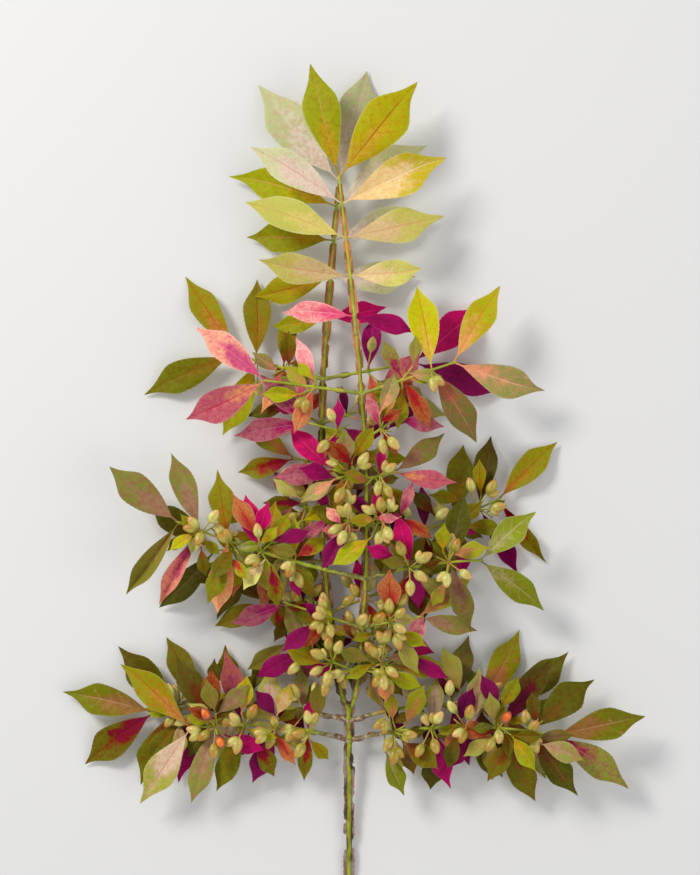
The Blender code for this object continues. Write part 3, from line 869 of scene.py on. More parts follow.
def place_capsules(spray, count, chance, nodes, stray=STALK_TILT):
    """Hang capsules from the angles of the inner leaves, each the first way that keeps clear."""
    for number in range(count):
        share = nodes[number % len(nodes)] - STALK_BACK
        root = spray.line(share)
        heading = heading_at(spray.line, share)
        for attempt in range(CAPSULE_TRIES):
            hand = chance.choice((1.0, -1.0))
            way = heading + math.radians(hand * chance.uniform(*STALK_SWING))
            tilt = math.radians(spray.leader.capsule_pitch + chance.uniform(*stray))
            reach = chance.uniform(*STALK_REACH)
            axis = point_at(way, tilt)
            found = capsule(spray.node, root, axis, reach)
            if fits(found, capsule(spray.node, root, axis, reach, CLEAR)):
                placed.append(found)
                pods.append(Pod(spray.leader, root, axis, reach, found))
                break


pods = []
for spray in sprays:
    place_capsules(spray, spray.capsules, spray.chance, spray.places[1:])
corners = np.array([point for body in placed for point in body.points])
low_corner = corners.min(0)
high_corner = corners.max(0)

# More capsules, and finer twigs with small leaves: the same rule carried on in what room is left inside the
# same reach. They also spring from the bare feet of the shoots, and fill the middle of the branch.
MORE_CAPSULES = (0, 12, 3, 3, 5, 2, 1, 0, 0)
MORE_TILT = (-4.0, 36.0)
SPUR_PLACES = ((), (0.04, 0.1, 0.18), (0.04, 0.16, 0.32), (0.05, 0.2), (0.06, 0.16, 0.26), (0.1, 0.3), (0.2,),
               (), ())
INNER_FROM = (0, 1, 1, 1, 1, 1, 1, -1, -1)
FINER_TRIES = 5
FINER_TWIG = (4.0, 10.0)
FINER_SWING = (25.0, 150.0)
FINER_TILT = (-20.0, 48.0)
FINER_BACK = 0.03
FINER_NEAREST = 0.02
FINER_RADIUS = 0.4
FINER_LEAF = (15.0, 27.0)
FINER_WIDE = 1.28
FINER_STRAY = 12.0
FINER_PITCH = 14.0
FINER_ROLL = 16.0
FINER_FOLD = (-4.0, 14.0)
FINER_CLEAR = 0.2
FINER_ROWS = 8
FINER_ARCH = 0.5
FINER_THICK = (0.5, 0.36)
FOOT_BARE = (8.0, 106.0)
# Places between the leaders and the shoots that finer growth leaves open: X, Y and how far round.
OPEN = ((1.0, 276.0, 19.0), (-1.0, 250.0, 11.0), (3.5, 152.0, 11.0), (36.0, 190.0, 8.0), (-20.0, 232.0, 7.0),
        (32.0, 228.0, 10.0))
# Where each leaf stands on its twig, how far it is turned aside, and its size.
FINER_LEAVES = ((1.0, 22.0, 1.0), (1.0, -22.0, 1.0), (0.5, 62.0, 0.78), (0.5, -62.0, 0.78))
FINER_DEALT = ("oagtrmoacygbomrdysanoe", "oprasvqmyorbgpamrolegt")


def within_reach(body):
    """Whether a body keeps inside the branch's box, and off the bare foot of the main stem."""
    low, high = np.min(body.points, axis=0), np.max(body.points, axis=0)
    over_foot = low[1] < FOOT_BARE[1] and low[0] < STEM_X + FOOT_BARE[0] and high[0] > STEM_X - FOOT_BARE[0]
    shuts = any(math.hypot(point.x - x, point.y - y) < reach for point in body.points for x, y, reach in OPEN)
    return (low >= low_corner).all() and (high <= high_corner).all() and not over_foot and not shuts


def grow_finer(spray):
    """Short twigs from the inner leaf angles, each with the small leaves of two pairs that find room."""
    chance = random.Random(spray.node + " finer")
    for share in spray.places[INNER_FROM[spray.tier]:] + list(SPUR_PLACES[spray.tier]):
        for attempt in range(FINER_TRIES):
            root = spray.line(max(share - chance.uniform(0.0, FINER_BACK), FINER_NEAREST))
            hand = chance.choice((1.0, -1.0))
            way = heading_at(spray.line, share) + math.radians(hand * chance.uniform(*FINER_SWING))
            tilt = math.radians(chance.uniform(*FINER_TILT))
            tip = root + point_at(way, tilt) * chance.uniform(*FINER_TWIG)

            def line(along, root=root, tip=tip):
                return root.lerp(tip, along)
            stem = tube(spray.node, "twig", line, (0.0, 1.0), lambda along: FINER_RADIUS, 4)
            if not fits(stem, stem):
                continue
            found = []
            for along, turn, share_of in FINER_LEAVES:
                size = chance.uniform(*FINER_LEAF) * share_of
                heading = way + math.radians(turn + chance.uniform(-FINER_STRAY, FINER_STRAY))
                pitch = tilt * 0.5 + math.radians(chance.uniform(-FINER_PITCH, FINER_PITCH))
                droop = math.radians(chance.uniform(*DROOP_RANGE))
                roll = math.radians(chance.uniform(-FINER_ROLL, FINER_ROLL))
                fold = math.radians(FOLD + chance.uniform(*FINER_FOLD))
                width = size * LEAF_WIDTH * FINER_WIDE * chance.uniform(*WIDTH_RANGE)
                shape = (spray.node, line(along), heading, pitch, droop, roll, fold, size, width)
                body = leaf(*shape)
                grown = leaf(*shape, FINER_CLEAR)
                if lowest(body) >= TABLE and within_reach(body) and not clashes(grown, placed + found):
                    found.append(body)
                    blades[spray.node].append(Blade(-1 - chance.randrange(len(FINER_DEALT[0])), shape))
            if found:
                placed.extend([stem] + found)
                finer.append((spray.leader, line))


finer = []
for spray in sprays:
    if spray.tier < TOP_TIER:
        place_capsules(spray, MORE_CAPSULES[spray.tier], random.Random(spray.node + " more"),
                       spray.places[1:] * 2 + list(SPUR_PLACES[spray.tier]), MORE_TILT)
for spray in sprays:
    if spray.tier < TOP_TIER:
        grow_finer(spray)

for leader in LEADERS:
    parts = []
    for owner, line in finer:
        if owner is leader:
            shares = np.linspace(0.0, 1.0, FINER_ROWS)
            centres = np.array([line(share) for share in shares])
            centres[:, 2] += FINER_ARCH * np.sin(shares * math.pi)
            rings = round_rings(centres, mix(*FINER_THICK, shares), FINER_ROWS)
            parts.append((rings, carried(rings, 0.5)))
    twiglets = add_piece(leader.name + "_finer_twigs", *join_skins(parts), green_bark)
    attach(twiglets, "root")

# Leaf blades as they show: wedge-shaped at the foot, widest past the middle and drawn out to a point, faintly
# toothed, sunk along the midrib, puffed a little between the side veins and pale beneath. No two bend alike.
ROWS = 40
SMALL_ROWS = 20
ACROSS = 12
RING = 2 * ACROSS
BLADE_THICK = (0.34, 0.22)
LEAF_STALK = 0.07
STALK_WIDE = 0.42
WIDEST = (1.25, 0.95)
POINT_FROM = (0.57, 0.68)
POINT_LONG = 0.32
POINT_SLIM = (0.48, 0.66)
FINE_WIDTH = 0.88
VEIN_PAIRS = 6.5
VEIN_LEAN = 1.15
TOOTH = 0.011
SLOW_EDGE = (0.01, 0.04)
MIDRIB_SWAY = 0.10
POINT_FLICK = 0.022
TWIST = 0.26
MARGIN_CURL = (-0.06, 0.20)
RIPPLE = 0.085
PUFF = 0.8
GROOVE = (0.10, 0.34)
# How light a spray's darkest leaves are, by tier, on the front leader and on the rear one, out of one. This
# is painted light and shade: the top sprays are lightest, the lower tiers darker, and the rear leader darker
# than the front below the top, with a random spread of tone above each spray's darkest. The long sprays on
# the right are darker still, by painted shade, and the leaves at the top stray less than the others.
LIT = {"front": (0.0, -0.05, 0.0, 0.0, 0.2, 0.05, 0.1, 0.1, 0.32, 0.6),
       "rear": (0.0, -0.1, -0.1, -0.1, -0.05, -0.05, 0.0, 0.0, 0.2, 0.6)}
LIT_STRAY = (1.05, 0.38)
SHADE_PAINTED_RIGHT = {1: 0.15, 4: 0.15}


def smooth(share):
    held = np.clip(share, 0.0, 1.0)
    return held * held * (3.0 - 2.0 * held)


def blade_halves(inside, width, rows, chance):
    """Half widths of a leaf along each of its sides, with faint teeth and a slow unevenness of its own."""
    first, second = WIDEST
    peak = first / (first + second)
    half = inside ** first * (1.0 - inside) ** second / (peak ** first * (1.0 - peak) ** second)
    slim = smooth((inside - chance.uniform(*POINT_FROM)) / POINT_LONG)
    half *= (1.0 - chance.uniform(*POINT_SLIM) * slim) * width * FINE_WIDTH * 0.5
    teeth = np.where(np.arange(rows) % 2, TOOTH, -TOOTH) * (inside > 0.12) * (inside < 0.96)
    halves = []
    for side in range(2):
        slow = chance.uniform(*SLOW_EDGE)
        slow = slow * np.sin(inside * chance.uniform(8.0, 15.0) + chance.uniform(0.0, 6.3))
        edge = np.maximum(half * (1.0 + teeth + slow), STALK_WIDE * np.clip(1.0 - inside * 1.2, 0.12, 1.0))
        edge[-1] = 0.05
        halves.append(edge)
    return halves


def blade_skin(shape, seed, lit):
    """A fine leaf over the plain one's bend: its rings of points, and a growth field."""
    node, root, heading, pitch, droop, roll, fold, length, width = shape
    rows = ROWS if length > SMALL_LEAF else SMALL_ROWS
    chance = random.Random(seed)
    share = np.linspace(0.0, 1.0, rows)
    inside = np.clip((share - LEAF_STALK) / (1.0 - LEAF_STALK), 0.0, 1.0)
    turn = np.linspace(-1.0, 1.0, ACROSS + 1)
    ring = np.concatenate([turn, turn[-2:0:-1]])
    face = np.concatenate([np.ones(ACROSS + 1), np.zeros(ACROSS - 1)])
    left, right = blade_halves(inside, width, rows, chance)
    half = np.where(ring[None, :] < 0.0, left[:, None], right[:, None])

    # The midrib bends sideways, and the blade twists towards its point.
    out = Vector((math.cos(heading), math.sin(heading), 0.0))
    side = np.array(out.cross(UP))
    out = np.array(out)
    up = np.array(UP)
    chord = (pitch - droop * share * 0.5)[:, None]
    centre = np.array(root) + (out * np.cos(chord) + up * np.sin(chord)) * (length * share)[:, None]
    sway = chance.uniform(-MIDRIB_SWAY, MIDRIB_SWAY) * (share ** 2.5 - share)
    flick = chance.uniform(-POINT_FLICK, POINT_FLICK) * smooth((share - 0.7) / 0.3) ** 2
    centre += side * ((sway + flick) * length)[:, None]
    tilt = (pitch - droop * share)[:, None]
    flat = up * np.cos(tilt) - out * np.sin(tilt)
    lean = (roll + chance.uniform(-TWIST, TWIST) * share ** 1.5)[:, None]
    across = side * np.cos(lean) + flat * np.sin(lean)
    above = flat * np.cos(lean) - side * np.sin(lean)

    # The blade folds up from its midrib, curls at its margins, ripples, and is puffed between the side veins.
    wide = np.abs(ring)[None, :]
    rise = half * (np.sqrt(wide ** 2 + 0.012) - 0.11) * math.sin(fold)
    rise -= half * wide ** 2 * chance.uniform(*MARGIN_CURL)
    waves = (share * chance.uniform(9.0, 17.0))[:, None]
    ripple = np.where(ring[None, :] < 0.0, np.sin(waves), np.sin(waves + chance.uniform(1.0, 5.0)))
    rise += half * RIPPLE * ripple * wide ** 2
    phase = inside[:, None] * VEIN_PAIRS - wide * VEIN_LEAN
    rise += PUFF * np.abs(np.sin(phase * math.pi)) * (1.0 - wide ** 2) * half / width
    thick = mix(*BLADE_THICK, share)[:, None] * np.where(wide > 0.999, 0.35, 1.0)
    stalk = 0.8 * np.sqrt(np.clip(1.0 - ring ** 2, 0.05, 1.0))[None, :]
    thick = np.where(inside[:, None] <= 0.02, stalk, thick)
    groove = np.exp(-(ring / 0.09) ** 2)[None, :] * np.clip(half / 3.0, 0.0, 1.0)
    height = rise + (face[None, :] - 0.5) * thick - groove * np.where(face > 0.5, *GROOVE)[None, :]
    reach = half * ring[None, :] * math.cos(fold)
    points = centre[:, None, :] + across[:, None, :] * reach[:, :, None]
    points += above[:, None, :] * height[:, :, None]
    # A leaf's face takes a tone within its spray's range, which holds painted shade; its back is marked with
    # 2.0.
    tone = np.where(face > 0.5, chance.uniform(*lit), 2.0)
    return points, carried(points, inside[:, None], ring[None, :], tone[None, :])


def painted(tip, foot, reach, vein, blotch, mottle):
    return Tint(paint(*tip), paint(*foot), reach, paint(*vein), paint(*blotch), mottle)


# A tint is the colour at a leaf's point and from its foot, how far the foot's reaches, the colours of its
# midrib and its blotches, and how strong the blotches are.
Tint = namedtuple("Tint", "tip foot reach vein blotch mottle")
TINTS = {
    "olive": painted((158, 162, 10), (192, 150, 60), 0.48, (206, 156, 108), (148, 116, 30), 0.50),
    "yellow": painted((178, 172, 22), (206, 168, 84), 0.52, (176, 84, 52), (198, 142, 74), 0.48),
    "green": painted((190, 188, 100), (216, 194, 122), 0.55, (206, 158, 112), (206, 172, 108), 0.35),
    "sage": painted((164, 168, 88), (204, 166, 134), 0.58, (214, 156, 140), (200, 132, 116), 0.58),
    "frost": painted((200, 204, 146), (232, 214, 196), 0.60, (232, 200, 186), (214, 172, 158), 0.52),
    "moss": painted((136, 142, 40), (160, 152, 96), 0.50, (196, 176, 136), (124, 112, 52), 0.52),
    "amber": painted((166, 166, 32), (226, 160, 110), 0.52, (206, 110, 80), (204, 128, 82), 0.50),
    "peach": painted((190, 172, 40), (244, 206, 154), 0.74, (240, 214, 180), (236, 166, 124), 0.42),
    "melon": painted((148, 152, 84), (246, 160, 134), 0.52, (246, 190, 164), (206, 140, 120), 0.50),
    "shrimp": painted((208, 118, 132), (244, 166, 128), 0.46, (214, 70, 110), (184, 82, 116), 0.50),
    "shell": painted((228, 230, 178), (252, 226, 206), 0.75, (238, 172, 160), (246, 198, 182), 0.35),
    "cream": painted((210, 202, 114), (234, 202, 156), 0.65, (232, 160, 132), (224, 176, 128), 0.35),
    "rosy": painted((146, 150, 34), (188, 122, 90), 0.56, (206, 142, 116), (168, 104, 72), 0.45),
    "dusk": painted((132, 142, 26), (176, 130, 88), 0.64, (210, 172, 134), (156, 98, 70), 0.45),
    "pink": painted((242, 160, 160), (224, 96, 138), 0.50, (244, 184, 190), (210, 90, 130), 0.52),
    "magenta": painted((188, 22, 104), (156, 10, 84), 0.60, (224, 92, 142), (206, 44, 124), 0.35),
    "salmon": painted((238, 164, 122), (228, 108, 108), 0.58, (196, 58, 72), (222, 118, 98), 0.45),
    "turning": painted((152, 154, 22), (184, 26, 78), 0.62, (206, 96, 98), (164, 96, 52), 0.45),
    "deep": painted((146, 144, 16), (192, 122, 78), 0.42, (176, 70, 72), (158, 104, 48), 0.42),
    "plum": painted((164, 50, 112), (126, 24, 84), 0.60, (212, 108, 148), (186, 78, 130), 0.40),
    "blush": painted((178, 180, 78), (244, 212, 184), 0.70, (226, 140, 140), (236, 180, 158), 0.35),
    "mauve": painted((248, 168, 146), (188, 82, 130), 0.60, (232, 130, 156), (216, 110, 138), 0.45),
    "flushed": painted((172, 178, 88), (190, 52, 108), 0.50, (222, 158, 150), (200, 128, 116), 0.45),
}
LETTERS = {"o": "olive", "y": "yellow", "g": "green", "s": "sage", "h": "shell", "c": "cream", "r": "rosy",
           "p": "pink", "m": "magenta", "a": "salmon", "t": "turning", "d": "deep", "u": "plum", "w": "blush",
           "v": "mauve", "f": "flushed", "k": "frost", "n": "moss", "b": "amber", "e": "peach", "l": "melon",
           "q": "shrimp", "j": "dusk"}
# One word to each pair of a spray's leaves, from its tip inward, with a letter for each leaf of the pair.
DEALT = {
    "front_top_spray": "oy he gc cc pm", "rear_top_spray": "kk ok ok yk om",
    "front_spray_8_right": "bl yl fa", "front_spray_8_left": "qv ap",
    "rear_spray_8_left": "ob oy at", "rear_spray_8_right": "mm ua",
    "front_spray_7_right": "ap pa", "front_spray_7_left": "pp am",
    "rear_spray_7_left": "ra ta", "rear_spray_7_right": "qs ma",
    "front_spray_6_right": "sq mr", "front_spray_6_left": "pm ba",
    "rear_spray_6_left": "tr tm", "rear_spray_6_right": "mo pm",
    "front_spray_5_right": "pa mr", "front_spray_5_left": "pm at",
    "rear_spray_5_left": "mp ra", "rear_spray_5_right": "am sp",
    "front_spray_4_right": "nn ns mm", "front_spray_4_left": "gs vs ad gm mo",
    "rear_spray_4_right": "dt dm om mt mp", "rear_spray_4_left": "no dy ap",
    "front_spray_3_right": "rs mm", "front_spray_3_left": "pr am",
    "rear_spray_3_left": "dd tm", "rear_spray_3_right": "sm ma",
    "front_spray_2_right": "pm sr", "front_spray_2_left": "ms cr",
    "rear_spray_2_left": "gt pm", "rear_spray_2_right": "rm ag",
    "front_spray_1_right": "jf oj tr so wm um", "front_spray_1_left": "wb sr ov mw tm",
    "rear_spray_1_left": "tj rr md wt gm us", "rear_spray_1_right": "jr rj sm wm tu",
}


TONE_HUE = (0.487, 0.026)
TONE_PALER = -0.2
BACK = (1.2, 1.6)


def spots_on(look, scale):
    """How far a place is from the middle of its cell, and a number of the cell's own."""
    cells = look.node("TexVoronoi", {"Vector": look.place(), "Scale": scale})
    return cells["Distance"], look.split(cells["Color"])[0]


def toned(look, colour, tone, dimmest, brightest, fullness):
    """A colour lighter or darker, warmer or cooler and paler or fuller on each leaf or capsule by its tone.
    On capsules the tone is random; on leaves it carries the spray's painted shade.
    """
    tone = look.figure("MINIMUM", tone, 1.0)
    value = look.times(look.figure("POWER", brightest / dimmest, tone), dimmest)
    hue = look.plus(look.times(tone, TONE_HUE[1]), TONE_HUE[0])
    fullness = look.plus(look.times(tone, TONE_PALER), fullness)
    shade = {"Color": colour, "Saturation": fullness, "Value": value, "Hue": hue}
    return look.node("HueSaturation", shade)[0]


def leaf_finish(name, tint):
    """A leaf's skin: one tint at the tip and one from the foot, blotched and freckled, with a fine net, thin
    veins and a bright rim, which is a painted edge highlight: the tip's tint lightened towards white along
    the margin."""
    look = Finish(name + "_leaf", 0.5, 0.12)
    along, turn, tone = look.growth()
    out = look.figure("ABSOLUTE", turn)
    cloud = look.grain(140.0, 4.0)
    mottle = look.grain(420.0, 3.0)
    ragged = look.plus(look.times(out, 0.35), look.plus(look.times(cloud, 0.8), look.times(mottle, 0.35)))
    colour = look.tinge(tint.tip, tint.foot, look.plus(along, ragged), tint.reach + 0.74, tint.reach + 0.40)
    colour = look.tinge(colour, tint.blotch, mottle, 0.44, 0.62, tint.mottle)
    marks, some = spots_on(look, 170.0)
    marks = look.times(look.climb(marks, 0.22, 0.06), look.climb(some, 0.55, 0.65))
    colour = look.blend(look.times(marks, 0.5), colour, tint.vein)
    colour = look.tinge(colour, toward(tint.foot, 0.0, 0.28), look.grain(1000.0, 3.0), 0.50, 0.64, 0.42)
    net = look.node("TexVoronoi", {"Vector": look.place(), "Scale": 900.0}, feature="DISTANCE_TO_EDGE")[0]
    colour = look.tinge(colour, toward(tint.tip, 0.0, 0.2), net, 0.12, 0.02, 0.16)
    phase = look.figure("SUBTRACT", look.times(along, VEIN_PAIRS), look.times(out, VEIN_LEAN))
    ribs = look.figure("PINGPONG", look.plus(phase, look.times(cloud, 0.9)), 0.5)
    ribs = look.times(look.climb(ribs, 0.06, 0.015), look.climb(out, 0.98, 0.5))
    midrib = look.climb(out, 0.05, 0.02)
    veins = look.figure("MAXIMUM", look.times(ribs, 0.30), look.times(midrib, 0.7))
    colour = look.blend(veins, colour, tint.vein)
    colour = look.tinge(colour, paint(150, 60, 40), look.grain(1500.0, 2.0), 0.62, 0.72, 0.45)
    # Painted highlight: the tip's tint lightened towards white along the leaf's margin, as if light caught
    # its edge.
    colour = look.tinge(colour, toward(tint.tip, 1.0, 0.18), out, 0.90, 0.985, 0.6)
    dots, rare = spots_on(look, 70.0)
    dots = look.times(look.climb(dots, 0.045, 0.03), look.climb(rare, 0.72, 0.74))
    colour = look.blend(look.times(dots, 0.85), colour, paint(70, 44, 24))
    colour = look.tinge(colour, toward(tint.tip, 0.62, 0.42), tone, *BACK, 0.6)
    look.wear("Base Color", toned(look, colour, tone, 0.3, 1.2, 1.28))
    look.bumps(look.figure("SUBTRACT", look.times(look.climb(net, 0.0, 0.16), 0.35), veins), 0.55, 0.0003)
    return look.material


finishes = {name: leaf_finish(name, tint) for name, tint in TINTS.items()}
# Every leaf has a cell of its own on the spray's sheet: its face in one half and its back in the other.
SHEET_EDGE = 0.06


def blade_sheet(rows):
    """Faces of a leaf's skin, and the place of each of their corners on the leaf's cell."""
    flat = np.zeros((rows, RING, 3))
    faces = skin(flat, flat[0, 0], flat[-1, 0])[1]
    places = []
    for face in faces:
        back = max(corner % RING for corner in face if corner < rows * RING) > ACROSS
        for corner in face:
            row, side = divmod(corner, RING)
            across = (RING - side) % RING if back else side
            if corner >= rows * RING:
                row = -0.6 if corner == rows * RING else rows - 0.4
                across = ACROSS / 2
            u = SHEET_EDGE / 2 + (0.5 - SHEET_EDGE) * across / ACROSS + (0.5 if back else 0.0)
            places.append((u, SHEET_EDGE + (1.0 - 2.0 * SHEET_EDGE) * (row + 0.6) / (rows + 0.2)))
    return faces, np.array(places)


sheets = {rows: blade_sheet(rows) for rows in (ROWS, SMALL_ROWS)}


def add_leaves(spray):
    """One mesh of all of a spray's leaves, each with the tint it is dealt and its own part of the sheet."""
    found = blades[spray.node]
    dealt = DEALT[spray.node].replace(" ", "")
    small = FINER_DEALT[spray.tier > 4]
    letters = [dealt[blade.order % len(dealt)] if blade.order >= 0 else small[blade.order] for blade in found]
    tints = [LETTERS[letter] for letter in letters]
    used = sorted(set(tints))
    columns = math.ceil(math.sqrt(len(found)))
    lines = math.ceil(len(found) / columns)
    # Painted shade: the spray's darkest tone is lower on the rear leader, on the lower tiers and on the long
    # sprays on the right.
    darkest = LIT[spray.leader.name][spray.tier]
    if spray.side > 0.0:
        darkest -= SHADE_PAINTED_RIGHT.get(spray.tier, 0.0)
    lit = (darkest, darkest + LIT_STRAY[spray.tier == TOP_TIER])
    points, faces, fields, wears, sheet, start = [], [], [], [], [], 0
    for number, blade in enumerate(found):
        rings, field = blade_skin(blade.shape, spray.node + str(number), lit)
        made, places = sheets[len(rings)]
        points.append(np.vstack([rings.reshape(-1, 3), rings[0].mean(0), rings[-1].mean(0)]))
        fields.append(np.vstack([field.reshape(-1, 3), field[0, 0], field[-1, 0]]))
        faces += [tuple(start + corner for corner in face) for face in made]
        wears += [used.index(tints[number])] * len(made)
        sheet.append((places + (number % columns, number // columns)) / (columns, lines))
        start += len(points[-1])
    leaves = add_piece(spray.node + "_leaves", np.vstack(points), faces, np.vstack(fields), finishes[used[0]])
    for name in used[1:]:
        leaves.data.materials.append(finishes[name])
    leaves.data.polygons.foreach_set("material_index", wears)
    leaves.data.uv_layers.new(name="OFBake").data.foreach_set("uv", np.vstack(sheet).ravel())
    leaves.data.set_sharp_from_angle(angle=math.radians(70.0))
    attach(leaves, "root")
    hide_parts(spray.node)


for spray in sprays:
    add_leaves(spray)

# Capsules as they show: plump eggs with faint seams, two of them side by side on many of the stalks. The
# stalks arch over, so the eggs lie flatter than their stalks start. Three of the ripest, low on the branch,
# have turned maroon and split, and show the orange coat of a seed.
POD_ROWS = 14
POD_SIDES = 16
POD_LONG = 8.8
POD_WIDE = 5.6
POD_FLATTER = 0.3
POD_GROWN = (0.86, 1.02)
TWIN_SHARE = 0.6
TWIN_SPLAY = (-12.0, 36.0)
TWIN_GROWN = (0.6, 0.96)
POD_SHAPE = (0.86, 0.68)
POD_ENDS = (0.5, 0.10)
POD_SEAM = 0.07
STALK_ROWS = 12
STALK_SIDES = 8
STALK_THICK = (0.42, 0.32)
COLLAR = 0.9
COLLAR_FROM = 0.93
ARCH = 0.45
RIPE_PLACES = ((-83.5, 94.0, 30.0), (-63.5, 79.0, 30.0), (85.5, 102.5, 30.0))
SEED_LONG = 5.4
SEED_WIDE = 3.9
SEED_PROUD = 1.35
SEED_ON = 0.6


def pod_axes(pod, splay=0.0, grown=1.0):
    """A lobe's middle, its own axis, and the two ways across it. A splayed lobe turns about its foot."""
    axis = Vector((pod.axis.x, pod.axis.y, pod.axis.z * POD_FLATTER)).normalized()
    foot = pod.root + pod.axis * pod.reach - axis * (POD_LONG * 0.5)
    axis.rotate(Matrix.Rotation(math.radians(splay), 3, "Z"))
    across = axis.cross(UP).normalized()
    middle = foot + axis * (POD_LONG * 0.5 * grown)
    return np.array(middle), np.array(axis), np.array(across), np.array(across.cross(axis))


def egg_rings(middle, axis, across, above, long, radii):
    """Rings of an egg along an axis, whose radius may differ from side to side."""
    along = np.linspace(-0.5, 0.5, len(radii))
    turn = turns(POD_SIDES)[:, None]
    ring = across[None, :] * np.cos(turn) + above[None, :] * np.sin(turn)
    centres = middle + axis * (along * long)[:, None]
    return centres[:, None, :] + ring[None, :, :] * radii[:, :, None]


def pod_rings(pod, splay, grown, tone):
    """Rings of one lobe of a capsule, from its collar to its point."""
    share = np.linspace(0.0, 1.0, POD_ROWS)
    radii = POD_WIDE * 0.5 * grown * np.sin(np.pi * share ** POD_SHAPE[0]) ** POD_SHAPE[1]
    radii[[0, -1]] = POD_ENDS
    seam = np.abs(np.cos(turns(POD_SIDES) * 2.0)) ** 8
    radii = radii[:, None] * (1.0 - POD_SEAM * seam)[None, :]
    rings = egg_rings(*pod_axes(pod, splay, grown), POD_LONG * grown, radii)
    return rings, carried(rings, share[:, None], (POD_SEAM * seam > 0.03)[None, :], tone)


def pod_stalk(pod):
    """Rings of a capsule's stalk, which arches over and widens into the collar."""
    middle, axis, across, above = pod_axes(pod)
    root = np.array(pod.root)
    end = middle - axis * (POD_LONG * 0.5 - 0.4)
    bend = end - axis * np.linalg.norm(end - root) * ARCH
    share = np.linspace(0.0, 1.0, STALK_ROWS)[:, None]
    centres = root * (1.0 - share) ** 2 + bend * 2.0 * share * (1.0 - share) + end * share ** 2
    radii = np.where(share[:, 0] > COLLAR_FROM, COLLAR, mix(*STALK_THICK, share[:, 0]))
    rings = round_rings(centres, radii, STALK_SIDES)
    return rings, carried(rings, share)


def capsule_finish():
    """Waxy yellow-green skin flushed with orange towards its point, with a brown seam and tip, or maroon
    where it is ripe."""
    look = Finish("capsule_skin", 0.32, 0.45)
    along, seam, tone = look.growth()
    cloud = look.grain(260.0, 3.0)
    fine = look.grain(1500.0, 2.0)
    hull = look.tinge(paint(206, 194, 92), paint(172, 168, 58), cloud, 0.38, 0.62)
    hull = look.tinge(hull, paint(220, 152, 76), look.plus(look.times(along, 0.5), cloud), 0.66, 1.05, 0.8)
    hull = look.blend(look.times(seam, 0.35), hull, paint(150, 112, 50))
    hull = look.tinge(hull, paint(96, 66, 40), along, 0.95, 1.0)
    hull = look.tinge(hull, paint(132, 96, 46), fine, 0.64, 0.7, 0.4)
    ripe = look.tinge(paint(112, 36, 44), paint(150, 60, 58), cloud, 0.4, 0.6)
    hull = look.tinge(hull, ripe, tone, *BACK)
    look.wear("Base Color", toned(look, hull, tone, 0.74, 1.2, 1.08))
    look.bumps(fine, 0.15, 0.0002)
    return look.material


def stalk_finish():
    """Thin stalks, green with a flush of rose."""
    look = Finish("capsule_stalk", 0.5)
    green, rose = paint(176, 172, 52), paint(206, 134, 84)
    look.wear("Base Color", look.tinge(green, rose, look.grain(140.0, 2.0), 0.46, 0.68))
    look.bumps(look.grain(1600.0, 2.0), 0.15, 0.0001)
    return look.material


def aril_finish():
    """The fleshy orange-red coat of a seed."""
    look = Finish("seed_coat", 0.28)
    cloud = look.grain(420.0, 3.0)
    look.wear("Base Color", look.tinge(paint(230, 84, 18), paint(246, 132, 38), cloud, 0.35, 0.65))
    look.bumps(cloud, 0.2, 0.0003)
    return look.material


def has_room(pod, splay, grown):
    """Whether a second lobe keeps clear of all but its own capsule, the table and the edges of the branch."""
    middle, axis, across, above = pod_axes(pod, splay, grown)
    foot = Vector(middle - axis * (POD_LONG * 0.5 * grown))
    body = capsule(pod.body.node, foot, Vector(axis), CAPSULE_LONG * 0.5)
    others = [other for other in placed if other is not pod.body]
    return lowest(body) >= TABLE and within_reach(body) and not clashes(body, others)


capsule_skin = capsule_finish()
capsule_stalk = stalk_finish()
seed_coat = aril_finish()
ripest = [min(pods, key=lambda pod: (pod.root + pod.axis * pod.reach - Vector(spot)).length)
          for spot in RIPE_PLACES]
for leader in LEADERS:
    shells, stalks = [], []
    for pod in pods:
        if pod.leader is leader:
            chance = random.Random(pod.reach)
            lobes = [(0.0, chance.uniform(*POD_GROWN))]
            if chance.random() < TWIN_SHARE and pod not in ripest:
                side = chance.choice((1.0, -1.0))
                twin = (side * TWIN_SPLAY[1], chance.uniform(*TWIN_GROWN))
                if has_room(pod, *twin):
                    lobes = [(side * TWIN_SPLAY[0], lobes[0][1]), twin]
            for splay, grown in lobes:
                shells.append(pod_rings(pod, splay, grown, 2.0 if pod in ripest else chance.random()))
            stalks.append(pod_stalk(pod))
    capsules = add_piece(leader.name + "_capsules", *join_skins(shells), capsule_skin)
    thin_stalks = add_piece(leader.name + "_capsule_stalks", *join_skins(stalks), capsule_stalk)
    for piece in (capsules, thin_stalks):
        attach(piece, "root")

seeds = []
for pod in ripest:
    middle, axis, across, above = pod_axes(pod)
    share = np.linspace(-1.0, 1.0, POD_ROWS)
    radii = np.maximum(SEED_WIDE * 0.5 * np.sqrt(1.0 - share ** 2), 0.12)[:, None] * np.ones(POD_SIDES)
    rings = egg_rings(middle + above * SEED_PROUD + axis * SEED_ON, axis, across, above, SEED_LONG, radii)
    seeds.append((rings, carried(rings)))
ripe_seeds = add_piece("ripe_seeds", *join_skins(seeds), seed_coat)
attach(ripe_seeds, "root")

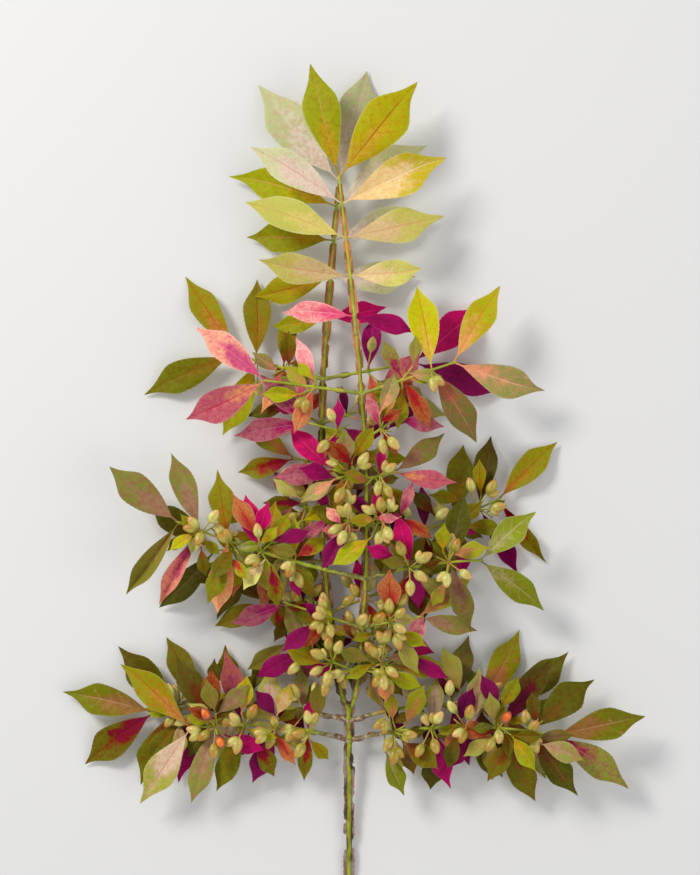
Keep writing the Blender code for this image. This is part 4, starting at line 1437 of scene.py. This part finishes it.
# The table, a pale plain sheet, is not part of the branch. The camera looks straight down on it, framed as in
# the photograph, and large soft lights stand over it.
PHOTO_MIDDLE = (2.5, 233.75)
PHOTO_HIGH = 437.5
CAMERA_UP = 1500.0
SPRIG_LEVEL = 20.0
TABLE_WIDE = 6.0
FILM = 36.0
bpy.ops.object.select_all(action="DESELECT")
bpy.ops.mesh.primitive_plane_add(size=TABLE_WIDE, location=(0.0, 0.0, -0.0002))
table = bpy.context.object
table.name = "table"
cloth = Finish("pale_table", 0.9)
cloth.wear("Base Color", paint(226, 224, 220))
table.data.materials.append(cloth.material)
table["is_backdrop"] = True

camera_data = bpy.data.cameras.new("camera")
camera_data.sensor_fit = "VERTICAL"
camera_data.sensor_height = FILM
camera_data.lens = FILM * (CAMERA_UP - SPRIG_LEVEL) / PHOTO_HIGH
camera = bpy.data.objects.new("camera", camera_data)
camera.location = ((PHOTO_MIDDLE[0] + home[0]) * MM, (PHOTO_MIDDLE[1] + home[1]) * MM, CAMERA_UP * MM)
bpy.context.scene.collection.objects.link(camera)
bpy.context.scene.camera = camera


def add_light(name, place, target, size, power):
    lamp = bpy.data.lights.new(name, "AREA")
    lamp.size = size
    lamp.energy = power
    light = bpy.data.objects.new(name, lamp)
    light.location = place
    light.rotation_euler = (Vector(target) - Vector(place)).to_track_quat("-Z", "Y").to_euler()
    bpy.context.scene.collection.objects.link(light)


add_light("key_light", (-1.0, 0.9, 1.15), (0.0, 0.0, 0.0), 0.5, 19.0)
add_light("fill_light", (1.1, -0.5, 1.2), (0.0, 0.0, 0.0), 1.2, 6.0)
world = bpy.data.worlds.new("studio")
world.use_nodes = True
world.node_tree.nodes["Background"].inputs["Color"].default_value = (0.92, 0.94, 1.0, 1.0)
world.node_tree.nodes["Background"].inputs["Strength"].default_value = 0.58
bpy.context.scene.world = world
bpy.context.scene.view_settings.view_transform = "Standard"

boxes = {"cad": cad_box, "visual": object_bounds()}
{name: [list(corner) for corner in box] for name, box in boxes.items()}
